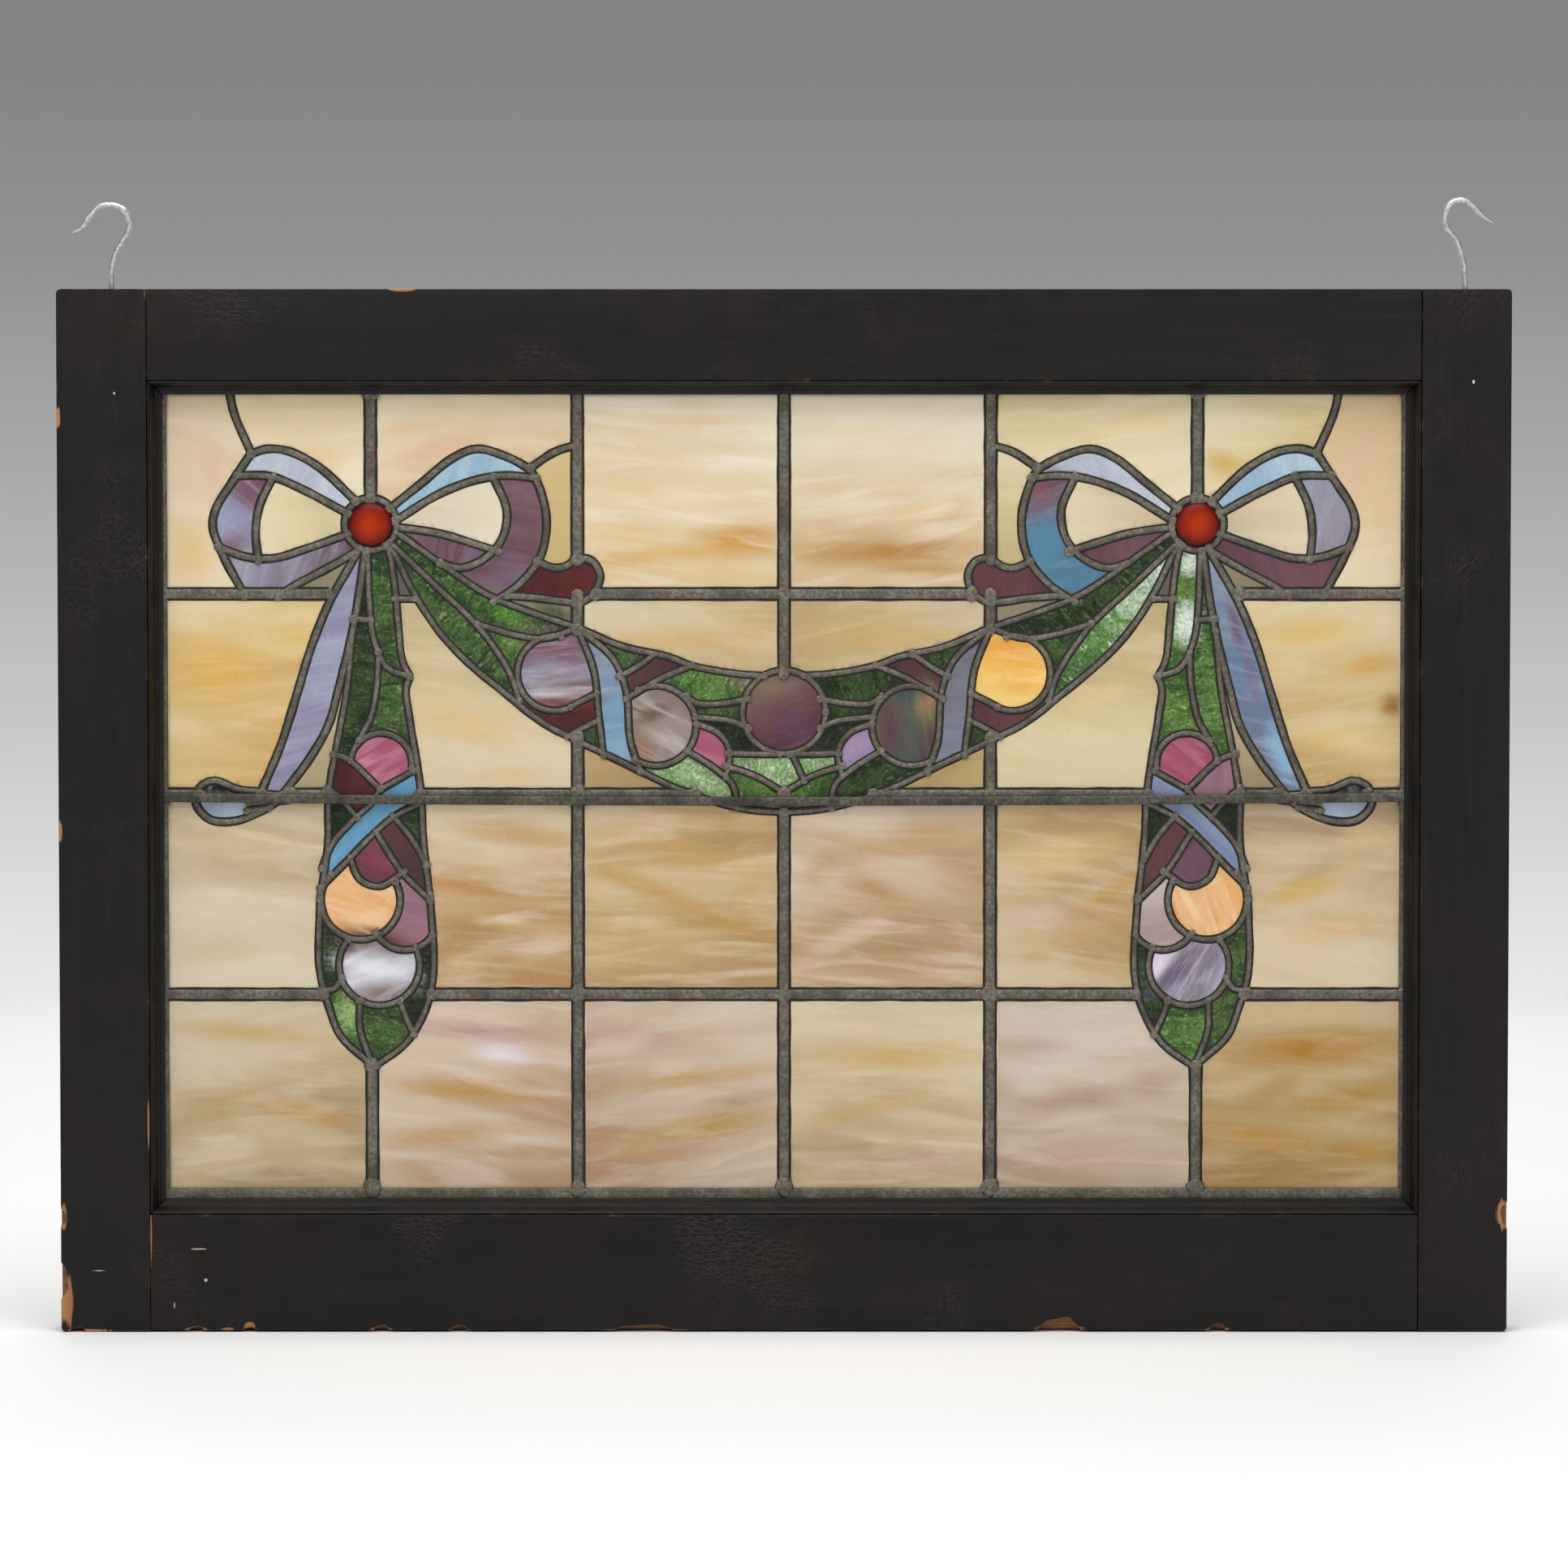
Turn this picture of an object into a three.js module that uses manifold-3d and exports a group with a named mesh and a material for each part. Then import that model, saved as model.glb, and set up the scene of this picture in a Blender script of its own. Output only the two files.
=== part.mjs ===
// Leaded stained glass window in its wooden sash, with two wire hanging hooks.
// Millimetres, +Z up. The front faces -Y. X = 0 is the middle of the window, Y = 0 the middle of the
// sash's thickness, and Z = 0 the height at which the hooks bear on what they hang from.
import * as THREE from 'three';
import Module from 'manifold-3d';
import { mergeVertices } from 'three/addons/utils/BufferGeometryUtils.js';

const wasm = await Module();
wasm.setup();

// Driving dimensions of the sash.
const sashWidth = 894;
const sashTop = -51;
const sashBottom = -695;
const sashDepth = 35;
const stileWidth = 55;
const topRailHeight = 56;
const bottomRailHeight = 71.5;
const railSetback = 1;
const cornerRadius = 3;
const cornerSides = 16;
const beadWidth = 9;
const lipWidth = 8.5;
const lipFront = 3.8;
const gap = 0.3;

// Driving dimensions of the leaded panel. Heights in the panel are measured from its middle lead.
const panelMiddle = -363;
const columnPitch = 127.5;
const rowPitch = 124;
const panelHalfWidth = 391;
const panelTop = 255;
const panelBottom = -258.5;
const borderInside = { side: 380.5, top: 248, bottom: -244.5 };
const cameFront = -1.5;
const cameBack = 3.5;
const glassFront = -0.5;
const glassBack = 2.5;
const gridCame = 8;
const bowCame = 5;
const leafCame = 4.5;
const smallestPane = 45;
const chordError = 0.8;

// The glass jewel at the knot of each bow.
const jewelOut = 2 * columnPitch;
const jewelHeight = 167;
const jewelRadius = 12.9;
const jewelRing = 18;
const jewelBulge = 4.5;
const jewelSides = 20;
const knotSides = 28;

// Saddle bar and hooks.
const barHalfLength = 387;
const barHeight = 5.5;
const barDepth = 4;
const barEndHeight = -1.5;
const barSag = 2.5;
const barSides = 8;
const barSteps = 14;
const hookWire = 4;
const hookSides = 8;
const hookSteps = 18;
const hookScrewLength = 22;
const hookPilotRadius = 2.4;

const sashHalf = sashWidth / 2;
const front = -sashDepth / 2;
const back = sashDepth / 2;
const openingSide = sashHalf - stileWidth;
const openingTop = sashTop - topRailHeight;
const openingBottom = sashBottom + railSetback + bottomRailHeight;

const finishes = {
  wood: { color: 0x2c2523, roughness: 0.5, metalness: 0 },
  lead: { color: 0x5d5a50, roughness: 0.55, metalness: 0.6 },
  iron: { color: 0x4c4840, roughness: 0.6, metalness: 0.6 },
  wire: { color: 0xc0c0bc, roughness: 0.35, metalness: 0.9 },
  amber: { color: 0xe0c590, roughness: 0.2, metalness: 0 },
  lavender: { color: 0x9a93b8, roughness: 0.2, metalness: 0 },
  plum: { color: 0x6d4a5c, roughness: 0.2, metalness: 0 },
  ruby: { color: 0xb02408, roughness: 0.1, metalness: 0 },
};

const object = new THREE.Group();

function addPiece(name, geometry, finish) {
  const mesh = new THREE.Mesh(geometry, new THREE.MeshStandardMaterial(finishes[finish]));
  mesh.name = name;
  object.add(mesh);
  return mesh;
}

// A closed three.js geometry as a solid that can be joined and cut.
function toSolid(geometry) {
  const bare = geometry.index ? geometry.toNonIndexed() : geometry.clone();
  bare.deleteAttribute('normal');
  bare.deleteAttribute('uv');
  const merged = mergeVertices(bare, 1e-4);
  return new wasm.Manifold(new wasm.Mesh({
    numProp: 3,
    vertProperties: new Float32Array(merged.attributes.position.array),
    triVerts: new Uint32Array(merged.index.array),
  }));
}

// The same, with the faces turned outward whichever way round the geometry lists them.
function facingOut(geometry) {
  const solid = toSolid(geometry);
  if (solid.volume() > 0) {
    return solid;
  }
  const turned = geometry.index ? geometry.toNonIndexed() : geometry.clone();
  const corners = turned.attributes.position;
  for (let i = 0; i < corners.count; i += 3) {
    const first = new THREE.Vector3().fromBufferAttribute(corners, i);
    const second = new THREE.Vector3().fromBufferAttribute(corners, i + 1);
    corners.setXYZ(i, ...second);
    corners.setXYZ(i + 1, ...first);
  }
  return toSolid(turned);
}

function toGeometry(solid) {
  const mesh = solid.getMesh();
  const geometry = new THREE.BufferGeometry();
  geometry.setAttribute('position', new THREE.BufferAttribute(new Float32Array(mesh.vertProperties), 3));
  geometry.setIndex(new THREE.BufferAttribute(new Uint32Array(mesh.triVerts), 1));
  return geometry;
}

function joinAll(solids) {
  return solids.reduce((whole, solid) => whole.add(solid));
}

// An upright plate: an outline of [x, z] points given thickness from one depth to a deeper one.
function plate(outline, nearFace, farFace) {
  const shape = new THREE.Shape(outline.map(([x, z]) => new THREE.Vector2(x, z)));
  const geometry = new THREE.ExtrudeGeometry(shape, { depth: farFace - nearFace, bevelEnabled: false });
  geometry.rotateX(Math.PI / 2);
  geometry.translate(0, farFace, 0);
  return toSolid(geometry);
}

function rectangle(left, right, bottom, top) {
  return [[left, bottom], [right, bottom], [right, top], [left, top]];
}

function box(left, right, nearFace, farFace, bottom, top) {
  return plate(rectangle(left, right, bottom, top), nearFace, farFace);
}

function arc(centre, radius, fromDegrees, toDegrees, steps) {
  const points = [];
  for (let i = 0; i <= steps; i += 1) {
    const angle = THREE.MathUtils.degToRad(fromDegrees + (toDegrees - fromDegrees) * i / steps);
    points.push([centre[0] + radius * Math.cos(angle), centre[1] + radius * Math.sin(angle)]);
  }
  return points;
}

function circle(centre, radius, sides) {
  return arc(centre, radius, 0, 360 - 360 / sides, sides - 1);
}

// ---- Lead lines ----
// The design is the same on both sides of the middle. Each lead is a smooth line through a few points,
// [distance out from the middle, height above the middle lead].
const bowLeads = [
  [[342.5, 252], [339, 235.5], [328.5, 211]],
  [[264, 181], [286.5, 202], [305.5, 212], [319, 213.5], [328.5, 210.5]],
  [[328.5, 211], [340, 193.5], [350.5, 176.5], [352.5, 165.5], [347.5, 150.5], [333, 123]],
  [[338, 197], [317, 196.5], [298, 189], [268, 173]],
  [[315, 196.5], [323.5, 178.5], [326, 162], [324.5, 145]],
  [[349, 153], [332.5, 147], [315, 146], [296, 151.5], [266, 162]],
  [[262.5, 151.5], [281.5, 140], [300.5, 130], [312, 123]],
  [[244, 176], [223.5, 192.5], [204, 208], [189, 213.5], [169.5, 208], [156.5, 201]],
  [[157, 202], [150.5, 188.5], [146.5, 168.5], [150.5, 146.5], [164, 129.5], [179.5, 119]],
  [[240, 169], [212, 186], [189, 194.5], [171.5, 197], [152.5, 195.5]],
  [[179.5, 196.5], [171, 175.5], [174.5, 157], [187, 144.5], [200.5, 140], [212, 143]],
  [[238, 165], [213.5, 161.5], [194.5, 156], [176, 150]],
  [[156, 202], [141.5, 211.5], [127.5, 216]],
  [[152, 144], [142, 140], [134.5, 141], [127, 146], [118, 144], [113.5, 135.5], [116.5, 124]],
  [[115, 125], [125.5, 119], [137, 119.5], [151.5, 121.5], [171, 123]],
];
const tailLeads = [
  [[263, 150], [280.5, 119], [292, 91], [301.5, 60], [311, 30.5], [323.5, 1]],
  [[258.5, 151], [262, 125.5], [266.5, 100.5], [275, 66], [281.5, 43], [294, 21], [311, -1]],
];
const dropLeads = [
  [[266.5, 101], [270.5, 62], [277, 27.5], [281.5, -0.5], [282, -30.5], [287, -65]],
  [[287, -62], [287.5, -109], [281.5, -132.5], [274.5, -150], [254.5, -168.5]],
  [[244, 151], [240, 125.5], [238, 102], [235.5, 82], [231, 73]],
  [[231, 73], [233.5, 65.5], [231.5, 48], [224.5, 2], [223, -28], [219, -65]],
  [[219, -63], [217, -110.5], [222, -133.5], [234, -154], [254.5, -169.5]],
  [[257, 151], [256, 119.5], [253.5, 97], [245, 78.5], [231, 73]],
  [[241, 121], [228, 121]],
  [[250.5, 88], [251.5, 67], [256, 46], [263, 33.5]],
  [[266, 108.5], [255, 108]],
  [[279, 25], [270, 22], [249.5, 3]],
  [[229, 14.5], [249.5, 3]],
  [[282, 4], [272, -4.5], [264, -14]],
  [[249, 4], [255.5, -5.5], [264.5, -14], [279, -30], [286, -46]],
  [[223.5, -4.5], [241.5, -14], [257.5, -28], [268.5, -39.5], [287, -58]],
  [[242, -13], [230.5, -27], [221, -44]],
  [[252.5, -23], [236, -48.5], [218.5, -66]],
  [[268.5, -39], [262.5, -52.5], [250.5, -57], [234.5, -47.5]],
  [[287, -121.5], [278.5, -120.5], [273.5, -113.5]],
  [[262.5, -128], [262.5, -145.5], [254.5, -168.5]],
  [[237.5, -128], [234.5, -137.5], [229, -149]],
  arc([249, 19], 19, 188, 5, 14),
  arc([262, -65.5], 24.5, 152, 402, 20),
  arc([234.5, -76], 20.5, 214, 332, 9),
  arc([250.5, -106], 25, 154, 400, 20),
];
const garlandLeads = [
  [[241, 150], [229.5, 126.5], [213.5, 101.5], [196, 82.5], [171.5, 62], [148.5, 44], [129, 34],
    [90, 15], [66, 3.5], [43, -4.5], [20.5, -9.5], [0, -11]],
  [[238, 161], [209.5, 141], [182, 123], [153, 111.5], [127.5, 103], [99.5, 91.5], [71, 85],
    [56.5, 79.5], [28, 74.5], [12, 73.5]],
  [[240, 153], [215.5, 129.5], [188.5, 103.5], [169.5, 75.5], [163.5, 58]],
  [[189.5, 105.5], [167.5, 99], [148.5, 96.5], [127.5, 103]],
  [[134, 35.5], [124.5, 41], [114.5, 46]],
  [[127.5, 103], [117.5, 76.5], [114.5, 48], [111.5, 24]],
  [[127.5, 103], [105.5, 84], [97.5, 64], [95, 33.5], [88.5, 14]],
  [[101.5, 73], [90, 79.5], [79.5, 87]],
  [[98, 59], [75.5, 72], [56.5, 80]],
  [[60.5, 61], [54, 56.5], [42, 56], [22, 59]],
  [[55, 48], [33, 45.5], [22, 41]],
  [[54.5, 44], [40.5, 38], [33.5, 27], [36, 11]],
  [[60, 27], [42, 15.5], [31.5, 5.5], [29, -8]],
  [[34, 25.5], [18, 25], [3, 25]],
  [[36, 17.5], [18, 11.5], [0, 1]],
  [[132, 54], [124.5, 58], [115.5, 62.5]],
  arc([141.5, 75], 23.25, 100, -115, 18),
  arc([79, 42.5], 24.75, 63, 302, 20),
];
const curlLeads = [
  [[311, -2.5], [322.5, -10], [339.5, -16.5], [355, -15.5], [363.5, -5.5], [361, 4.5], [352, 8.5],
    [337.5, 3], [322, 1.5]],
  [[324, 0.5], [309, -1]],
  [[306, -3.5], [331, -5]],
  [[318, -8], [332, -10]],
];
// Leads that stay single: the round in the middle of the garland and the parting below it.
const middleLeads = [
  arc([0, 51], 25.75, 0, 360, 28),
  [[-23, 41.5], [-9.5, 35.5], [0, 28.5], [6, 24]],
  [[5, 25], [12.5, 8.5]],
];
// The rectangular grid, broken off where it meets the bows, the drops and the garland.
const gridLeads = [
  [[2 * columnPitch, 250], [2 * columnPitch, jewelHeight]],
  [[2 * columnPitch, -168], [2 * columnPitch, -247]],
  [[columnPitch, 250], [columnPitch, 145]],
  [[columnPitch, 120], [columnPitch, 102]],
  [[columnPitch, 35], [columnPitch, -247]],
  [[383, rowPitch], [281, rowPitch]],
  [[116, rowPitch], [0, rowPitch]],
  [[383, 0], [361, 0]],
  [[305, 0], [282, 0]],
  [[225, 0], [55, 0]],
  [[383, -rowPitch], [285, -rowPitch]],
  [[218, -rowPitch], [0, -rowPitch]],
];
const middleGridLeads = [
  [[0, 250], [0, 75]],
  [[0, -11], [0, -247]],
];

function smoothLine(points) {
  if (points.length < 3) {
    return points;
  }
  const knots = points.map(([x, z]) => new THREE.Vector3(x, z, 0));
  const curve = new THREE.CatmullRomCurve3(knots, false, 'centripetal');
  return curve.getSpacedPoints(Math.ceil(curve.getLength())).map((p) => [p.x, p.y]);
}

// Leaves out the points that a straight chord misses by less than the chord error.
function thinOut(points) {
  const [ax, az] = points[0];
  const [bx, bz] = points[points.length - 1];
  const length = Math.hypot(bx - ax, bz - az) || 1;
  let farthest = 0;
  let index = 0;
  for (let i = 1; i < points.length - 1; i += 1) {
    const [px, pz] = points[i];
    const closed = length < 2 * chordError;
    const offset = closed
      ? Math.hypot(px - ax, pz - az)
      : Math.abs((bx - ax) * (pz - az) - (bz - az) * (px - ax)) / length;
    if (offset > farthest) {
      farthest = offset;
      index = i;
    }
  }
  if (farthest < chordError) {
    return [points[0], points[points.length - 1]];
  }
  return [...thinOut(points.slice(0, index + 1)).slice(0, -1), ...thinOut(points.slice(index))];
}

// The outline of a strip of the given width along a line, with mitred bends.
function stripOutline(line, width) {
  const sides = [[], []];
  line.forEach(([x, z], i) => {
    const [px, pz] = line[Math.max(i - 1, 0)];
    const [nx, nz] = line[Math.min(i + 1, line.length - 1)];
    const before = new THREE.Vector2(x - px, z - pz).normalize();
    const after = new THREE.Vector2(nx - x, nz - z).normalize();
    const along = before.clone().add(after).normalize();
    const straight = before.lengthSq() > 0 ? before : after;
    const reach = (width / 2) / Math.max(along.dot(straight), 0.5);
    sides[0].push([x - along.y * reach, z + along.x * reach]);
    sides[1].push([x + along.y * reach, z - along.x * reach]);
  });
  return [...sides[0], ...sides[1].reverse()];
}

const inFrame = ([x, z]) => [x, panelMiddle + z];
const mirrored = (line) => line.map(([x, z]) => [-x, z]);

function cames(leads, width, bothSides) {
  const lines = bothSides ? [...leads, ...leads.map(mirrored)] : leads;
  return lines.map((points) => ({ line: thinOut(smoothLine(points)).map(inFrame), width }));
}

const allCames = [
  ...cames(gridLeads, gridCame, true),
  ...cames(middleGridLeads, gridCame, false),
  ...cames(bowLeads, bowCame, true),
  ...cames(tailLeads, bowCame, true),
  ...cames(curlLeads, bowCame, true),
  ...cames(dropLeads, leafCame, true),
  ...cames(garlandLeads, leafCame, true),
  ...cames(middleLeads, leafCame, false),
];
const jewelCentres = [-1, 1].map((side) => inFrame([side * jewelOut, jewelHeight]));
const panelOutline = rectangle(
  -panelHalfWidth, panelHalfWidth, panelMiddle + panelBottom, panelMiddle + panelTop,
);

// All the leads as one plate; the knots of the bows are full discs here.
function leadwork(nearFace, farFace) {
  const inside = rectangle(
    -borderInside.side, borderInside.side, panelMiddle + borderInside.bottom, panelMiddle + borderInside.top,
  );
  const border = plate(panelOutline, nearFace, farFace).subtract(plate(inside, nearFace - 1, farFace + 1));
  const strips = allCames.map(({ line, width }) => plate(stripOutline(line, width), nearFace, farFace));
  const knots = jewelCentres.map((centre) => plate(circle(centre, jewelRing, knotSides), nearFace, farFace));
  return joinAll([border, ...strips, ...knots]);
}

const areaOf = (outline) => THREE.ShapeUtils.area(outline.map(([x, z]) => ({ x, y: z })));

// The outline of an upright plate, anticlockwise as seen from the front: the edges that only one triangle of
// the near face has, chained into loops, of which the largest counts.
function outlineOf(solid) {
  const { vertProperties, triVerts } = solid.getMesh();
  const near = solid.boundingBox().min[1];
  const edges = new Set();
  for (let i = 0; i < triVerts.length; i += 3) {
    const corners = [...triVerts.slice(i, i + 3)];
    if (corners.every((index) => vertProperties[3 * index + 1] < near + 0.01)) {
      corners.forEach((corner, k) => edges.add(`${corner} ${corners[(k + 1) % 3]}`));
    }
  }
  const open = [...edges].map((edge) => edge.split(' ')).filter(([from, to]) => !edges.has(`${to} ${from}`));
  const loops = [];
  const path = [];
  while (open.length > 0) {
    const next = open.findIndex(([from]) => path.length === 0 || from === path.at(-1));
    const [[from, to]] = open.splice(next, 1);
    path.push(...(path.length === 0 ? [from, to] : [to]));
    const met = path.indexOf(to);
    if (met < path.length - 1) {
      loops.push(path.splice(met).slice(1));
      path.push(...(path.length > 0 ? [to] : []));
    }
  }
  const outlines = loops.map((loop) => loop.map((index) => (
    [vertProperties[3 * index], vertProperties[3 * index + 2]])));
  return outlines.sort((a, b) => areaOf(b) - areaOf(a))[0];
}

// A closed outline with only the points its shape needs, started from its most outlying corner.
function thinnedOutline(outline) {
  const middle = [0, 1].map((axis) => outline.reduce((sum, point) => sum + point[axis], 0) / outline.length);
  const distances = outline.map(([x, z]) => Math.hypot(x - middle[0], z - middle[1]));
  const start = distances.indexOf(Math.max(...distances));
  const turned = [...outline.slice(start), ...outline.slice(0, start + 1)];
  return thinOut(turned).slice(0, -1);
}

// An anticlockwise outline drawn in by a distance; a sharp corner moves in four times as far at most.
function drawnIn(outline, distance) {
  return outline.map(([x, z], i) => {
    const [px, pz] = outline.at(i - 1);
    const [nx, nz] = outline[(i + 1) % outline.length];
    const before = new THREE.Vector2(x - px, z - pz).normalize();
    const after = new THREE.Vector2(nx - x, nz - z).normalize();
    const inward = new THREE.Vector2(-before.y - after.y, before.x + after.x).normalize();
    const reach = distance / Math.max(inward.y * before.x - inward.x * before.y, 0.25);
    return [x + inward.x * reach, z + inward.y * reach];
  });
}

// Whether an outline goes round a point.
function surrounds(outline, [x, z]) {
  return outline.reduce((inside, [ax, az], i) => {
    const [bx, bz] = outline.at(i - 1);
    const crosses = (az > z) !== (bz > z) && x < ax + (bx - ax) * (z - az) / (bz - az);
    return crosses ? !inside : inside;
  }, false);
}

// Panes with a node of their own: a point inside each, [distance out, height]. The small leaves, fruits
// and ribbons of the drops and the garland are fused to the leads that hold them, flush at the back.
const namedPanes = {
  pane_corner: { at: [368, 189], finish: 'amber' },
  pane_over_bow: { at: [293, 229], finish: 'amber' },
  pane_outer_eye: { at: [303, 169], finish: 'amber' },
  pane_over_knot: { at: [210, 229], finish: 'amber' },
  pane_beside_bow: { at: [138, 179], finish: 'amber' },
  pane_inner_eye: { at: [198, 179], finish: 'amber' },
  pane_top_middle: { at: [63, 189], finish: 'amber' },
  pane_side: { at: [353, 64], finish: 'amber' },
  pane_beside_drop: { at: [287, 19.5], finish: 'amber' },
  pane_under_swag: { at: [183, 29], finish: 'amber' },
  pane_over_garland: { at: [58, 99], finish: 'amber' },
  pane_under_garland: { at: [115.5, 9.5], finish: 'amber' },
  pane_low_side: { at: [333, -60], finish: 'amber' },
  pane_low_between: { at: [173, -60], finish: 'amber' },
  pane_low_middle: { at: [63, -60], finish: 'amber' },
  pane_foot_side: { at: [323, -185], finish: 'amber' },
  pane_foot_between: { at: [188, -185], finish: 'amber' },
  pane_foot_middle: { at: [63, -185], finish: 'amber' },
  ribbon_outer_turn: { at: [339, 169], finish: 'lavender' },
  ribbon_inner_turn: { at: [159, 169], finish: 'plum' },
  ribbon_outer_fold: { at: [306, 139], finish: 'plum' },
  ribbon_tail: { at: [285.5, 74.5], finish: 'lavender' },
};

const openings = plate(panelOutline, cameFront, cameBack)
  .subtract(leadwork(cameFront - 1, cameBack + 1))
  .decompose()
  .filter((opening) => opening.volume() > smallestPane * (cameBack - cameFront))
  .map((opening) => thinnedOutline(outlineOf(opening)));
const seeds = Object.entries(namedPanes).flatMap(([name, { at, finish }]) => [
  { name: `${name}_left`, finish, point: inFrame([-at[0], at[1]]) },
  { name: `${name}_right`, finish, point: inFrame(at) },
]);
const cuts = openings.map((outline) => {
  const seed = seeds.find(({ point }) => surrounds(outline, point));
  if (seed) {
    addPiece(seed.name, toGeometry(plate(drawnIn(outline, gap), glassFront, glassBack)), seed.finish);
  }
  return plate(outline, cameFront - 1, seed ? cameBack + 1 : glassFront);
});
const jewelSeats = jewelCentres.map((centre) => (
  plate(circle(centre, jewelRadius + gap, jewelSides), cameFront - 1, cameBack + 1)));
const lattice = plate(panelOutline, cameFront, cameBack).subtract(joinAll([...cuts, ...jewelSeats]));
addPiece('lead_lattice', toGeometry(lattice), 'lead');

// ---- Jewels: round glass with a domed front ----
// Each point of the profile is [share of the radius, share of the bulge].
const domeProfile = [[1, 0], [0.8, 0.55], [0.45, 0.9], [0, 1]];
jewelCentres.forEach(([x, z], index) => {
  const edgeRadius = jewelRadius / Math.cos(Math.PI / jewelSides) - gap;
  const dome = domeProfile.map(([reach, rise]) => (
    new THREE.Vector2(reach * edgeRadius, cameFront - rise * jewelBulge)));
  const foot = [new THREE.Vector2(0, glassBack), new THREE.Vector2(edgeRadius, glassBack)];
  const geometry = toGeometry(facingOut(new THREE.LatheGeometry([...foot, ...dome], jewelSides)));
  addPiece(['jewel_left', 'jewel_right'][index], geometry, 'ruby').position.set(x, 0, z);
});

// ---- Hooks: each screwed into the top of a stile, then bent over by hand ----
// The path is that of the wire above its stile: [distance along X from the shank, height].
const hooks = [
  {
    name: 'hook_left',
    shank: -414,
    path: [
      [0, -38], [3, -28], [10, -16], [11, -9], [7, -2],
      [-1, 0.5], [-8, -1], [-14, -7], [-19, -14], [-25, -17],
    ],
  },
  {
    name: 'hook_right',
    shank: 419.5,
    path: [
      [-1, -36], [-5, -22], [-11, -14], [-12.5, -5], [-9, 1.5],
      [-3, 3.5], [2, 2], [8, -3.5], [12, -7.5], [18, -11],
    ],
  },
];

// ---- Sash ----
// Stiles run the full height and the rails stand between them. Each has a lip along the opening's back
// edge, and the panel lies against it.
const railEnd = openingSide - gap;
const railFoot = sashBottom + railSetback;

// A splintered flake lost from an edge: a shallow wedge, long along the edge. Its outline is given as
// [distance along the edge, distance in from it].
function chip(length, bite) {
  return [[-length / 2, -1], [length / 2, -1], [length / 5, bite], [-length / 4, 0.7 * bite]];
}

function chipBelow([x, z], length, bite, depth) {
  const outline = chip(length, bite).map(([along, inward]) => [x + along, z + inward]);
  return plate(outline, front - 1, front + depth);
}

function chipBeside([x, z], length, bite, depth) {
  const out = Math.sign(x);
  const outline = chip(length, bite).map(([along, inward]) => [x - out * inward, z + out * along]);
  return plate(outline, front - 1, front + depth);
}

function stile(side, hook, chips) {
  const edges = (from, to) => [side * from, side * to].sort((a, b) => a - b);
  const [left, right] = edges(openingSide, sashHalf);
  const straight = box(left, right, front, back, sashBottom + cornerRadius, sashTop - cornerRadius);
  const innerHalf = box(...edges(openingSide, sashHalf - cornerRadius), front, back, sashBottom, sashTop);
  const corners = [sashBottom + cornerRadius, sashTop - cornerRadius].map((z) => (
    plate(circle([side * (sashHalf - cornerRadius), z], cornerRadius, cornerSides), front, back)));
  const lip = box(
    ...edges(openingSide + 1, openingSide - lipWidth), lipFront, back, openingBottom + gap, openingTop - gap,
  );
  const pilotLength = hookScrewLength + 2;
  const pilot = new THREE.CylinderGeometry(hookPilotRadius, hookPilotRadius, pilotLength, hookSides);
  pilot.rotateX(Math.PI / 2).translate(hook.shank, 0, sashTop + 2 - pilotLength / 2);
  const body = joinAll([straight, innerHalf, ...corners, lip]);
  return [...chips, facingOut(pilot)].reduce((wood, cut) => wood.subtract(cut), body);
}

function rail(bottom, top, openingEdge, chips) {
  const lipEnd = openingSide - lipWidth - gap;
  const inward = openingEdge === bottom ? -1 : 1;
  const lipEdges = [openingEdge - inward, openingEdge + inward * lipWidth].sort((a, b) => a - b);
  const lip = box(-lipEnd, lipEnd, lipFront, back, ...lipEdges);
  const body = box(-railEnd, railEnd, front, back, bottom, top).add(lip);
  return chips.reduce((wood, cut) => wood.subtract(cut), body);
}

const leftChips = [
  chipBeside([-sashHalf, -624], 12, 4, 6),
  chipBeside([-sashHalf, -663], 26, 4.5, 9),
  chipBelow([-437, sashBottom], 13, 3, 8),
];
const rightChips = [chipBeside([sashHalf, -622.5], 18, 4, 5)];
// Along the bottom rail: [x, length, bite].
const bottomChips = [
  [-363.5, 11, 2.5], [-330.5, 9, 2], [-249, 12, 3], [-201, 12, 3], [-87, 46, 3], [170, 30, 8], [268, 12, 4],
].map(([x, length, bite]) => chipBelow([x, railFoot], length, bite, 7));

addPiece('stile_left', toGeometry(stile(-1, hooks[0], leftChips)), 'wood');
addPiece('stile_right', toGeometry(stile(1, hooks[1], rightChips)), 'wood');
addPiece('rail_top', toGeometry(rail(openingTop, sashTop, openingTop, [])), 'wood');
addPiece('rail_bottom', toGeometry(rail(railFoot, openingBottom, openingBottom, bottomChips)), 'wood');

// ---- Glazing beads: a moulded strip on each side of the opening, mitred at the corners ----
// Each point is [distance in from the edge of the opening, depth].
const beadProfile = [
  [gap, -16.4], [1.4, -17], [2.4, -16], [3.4, -11.5], [5.2, -8.8], [6, -8.8], [6.3, -7.6],
  [beadWidth, -7.3], [beadWidth, cameFront - gap], [gap, cameFront - gap],
];

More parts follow.
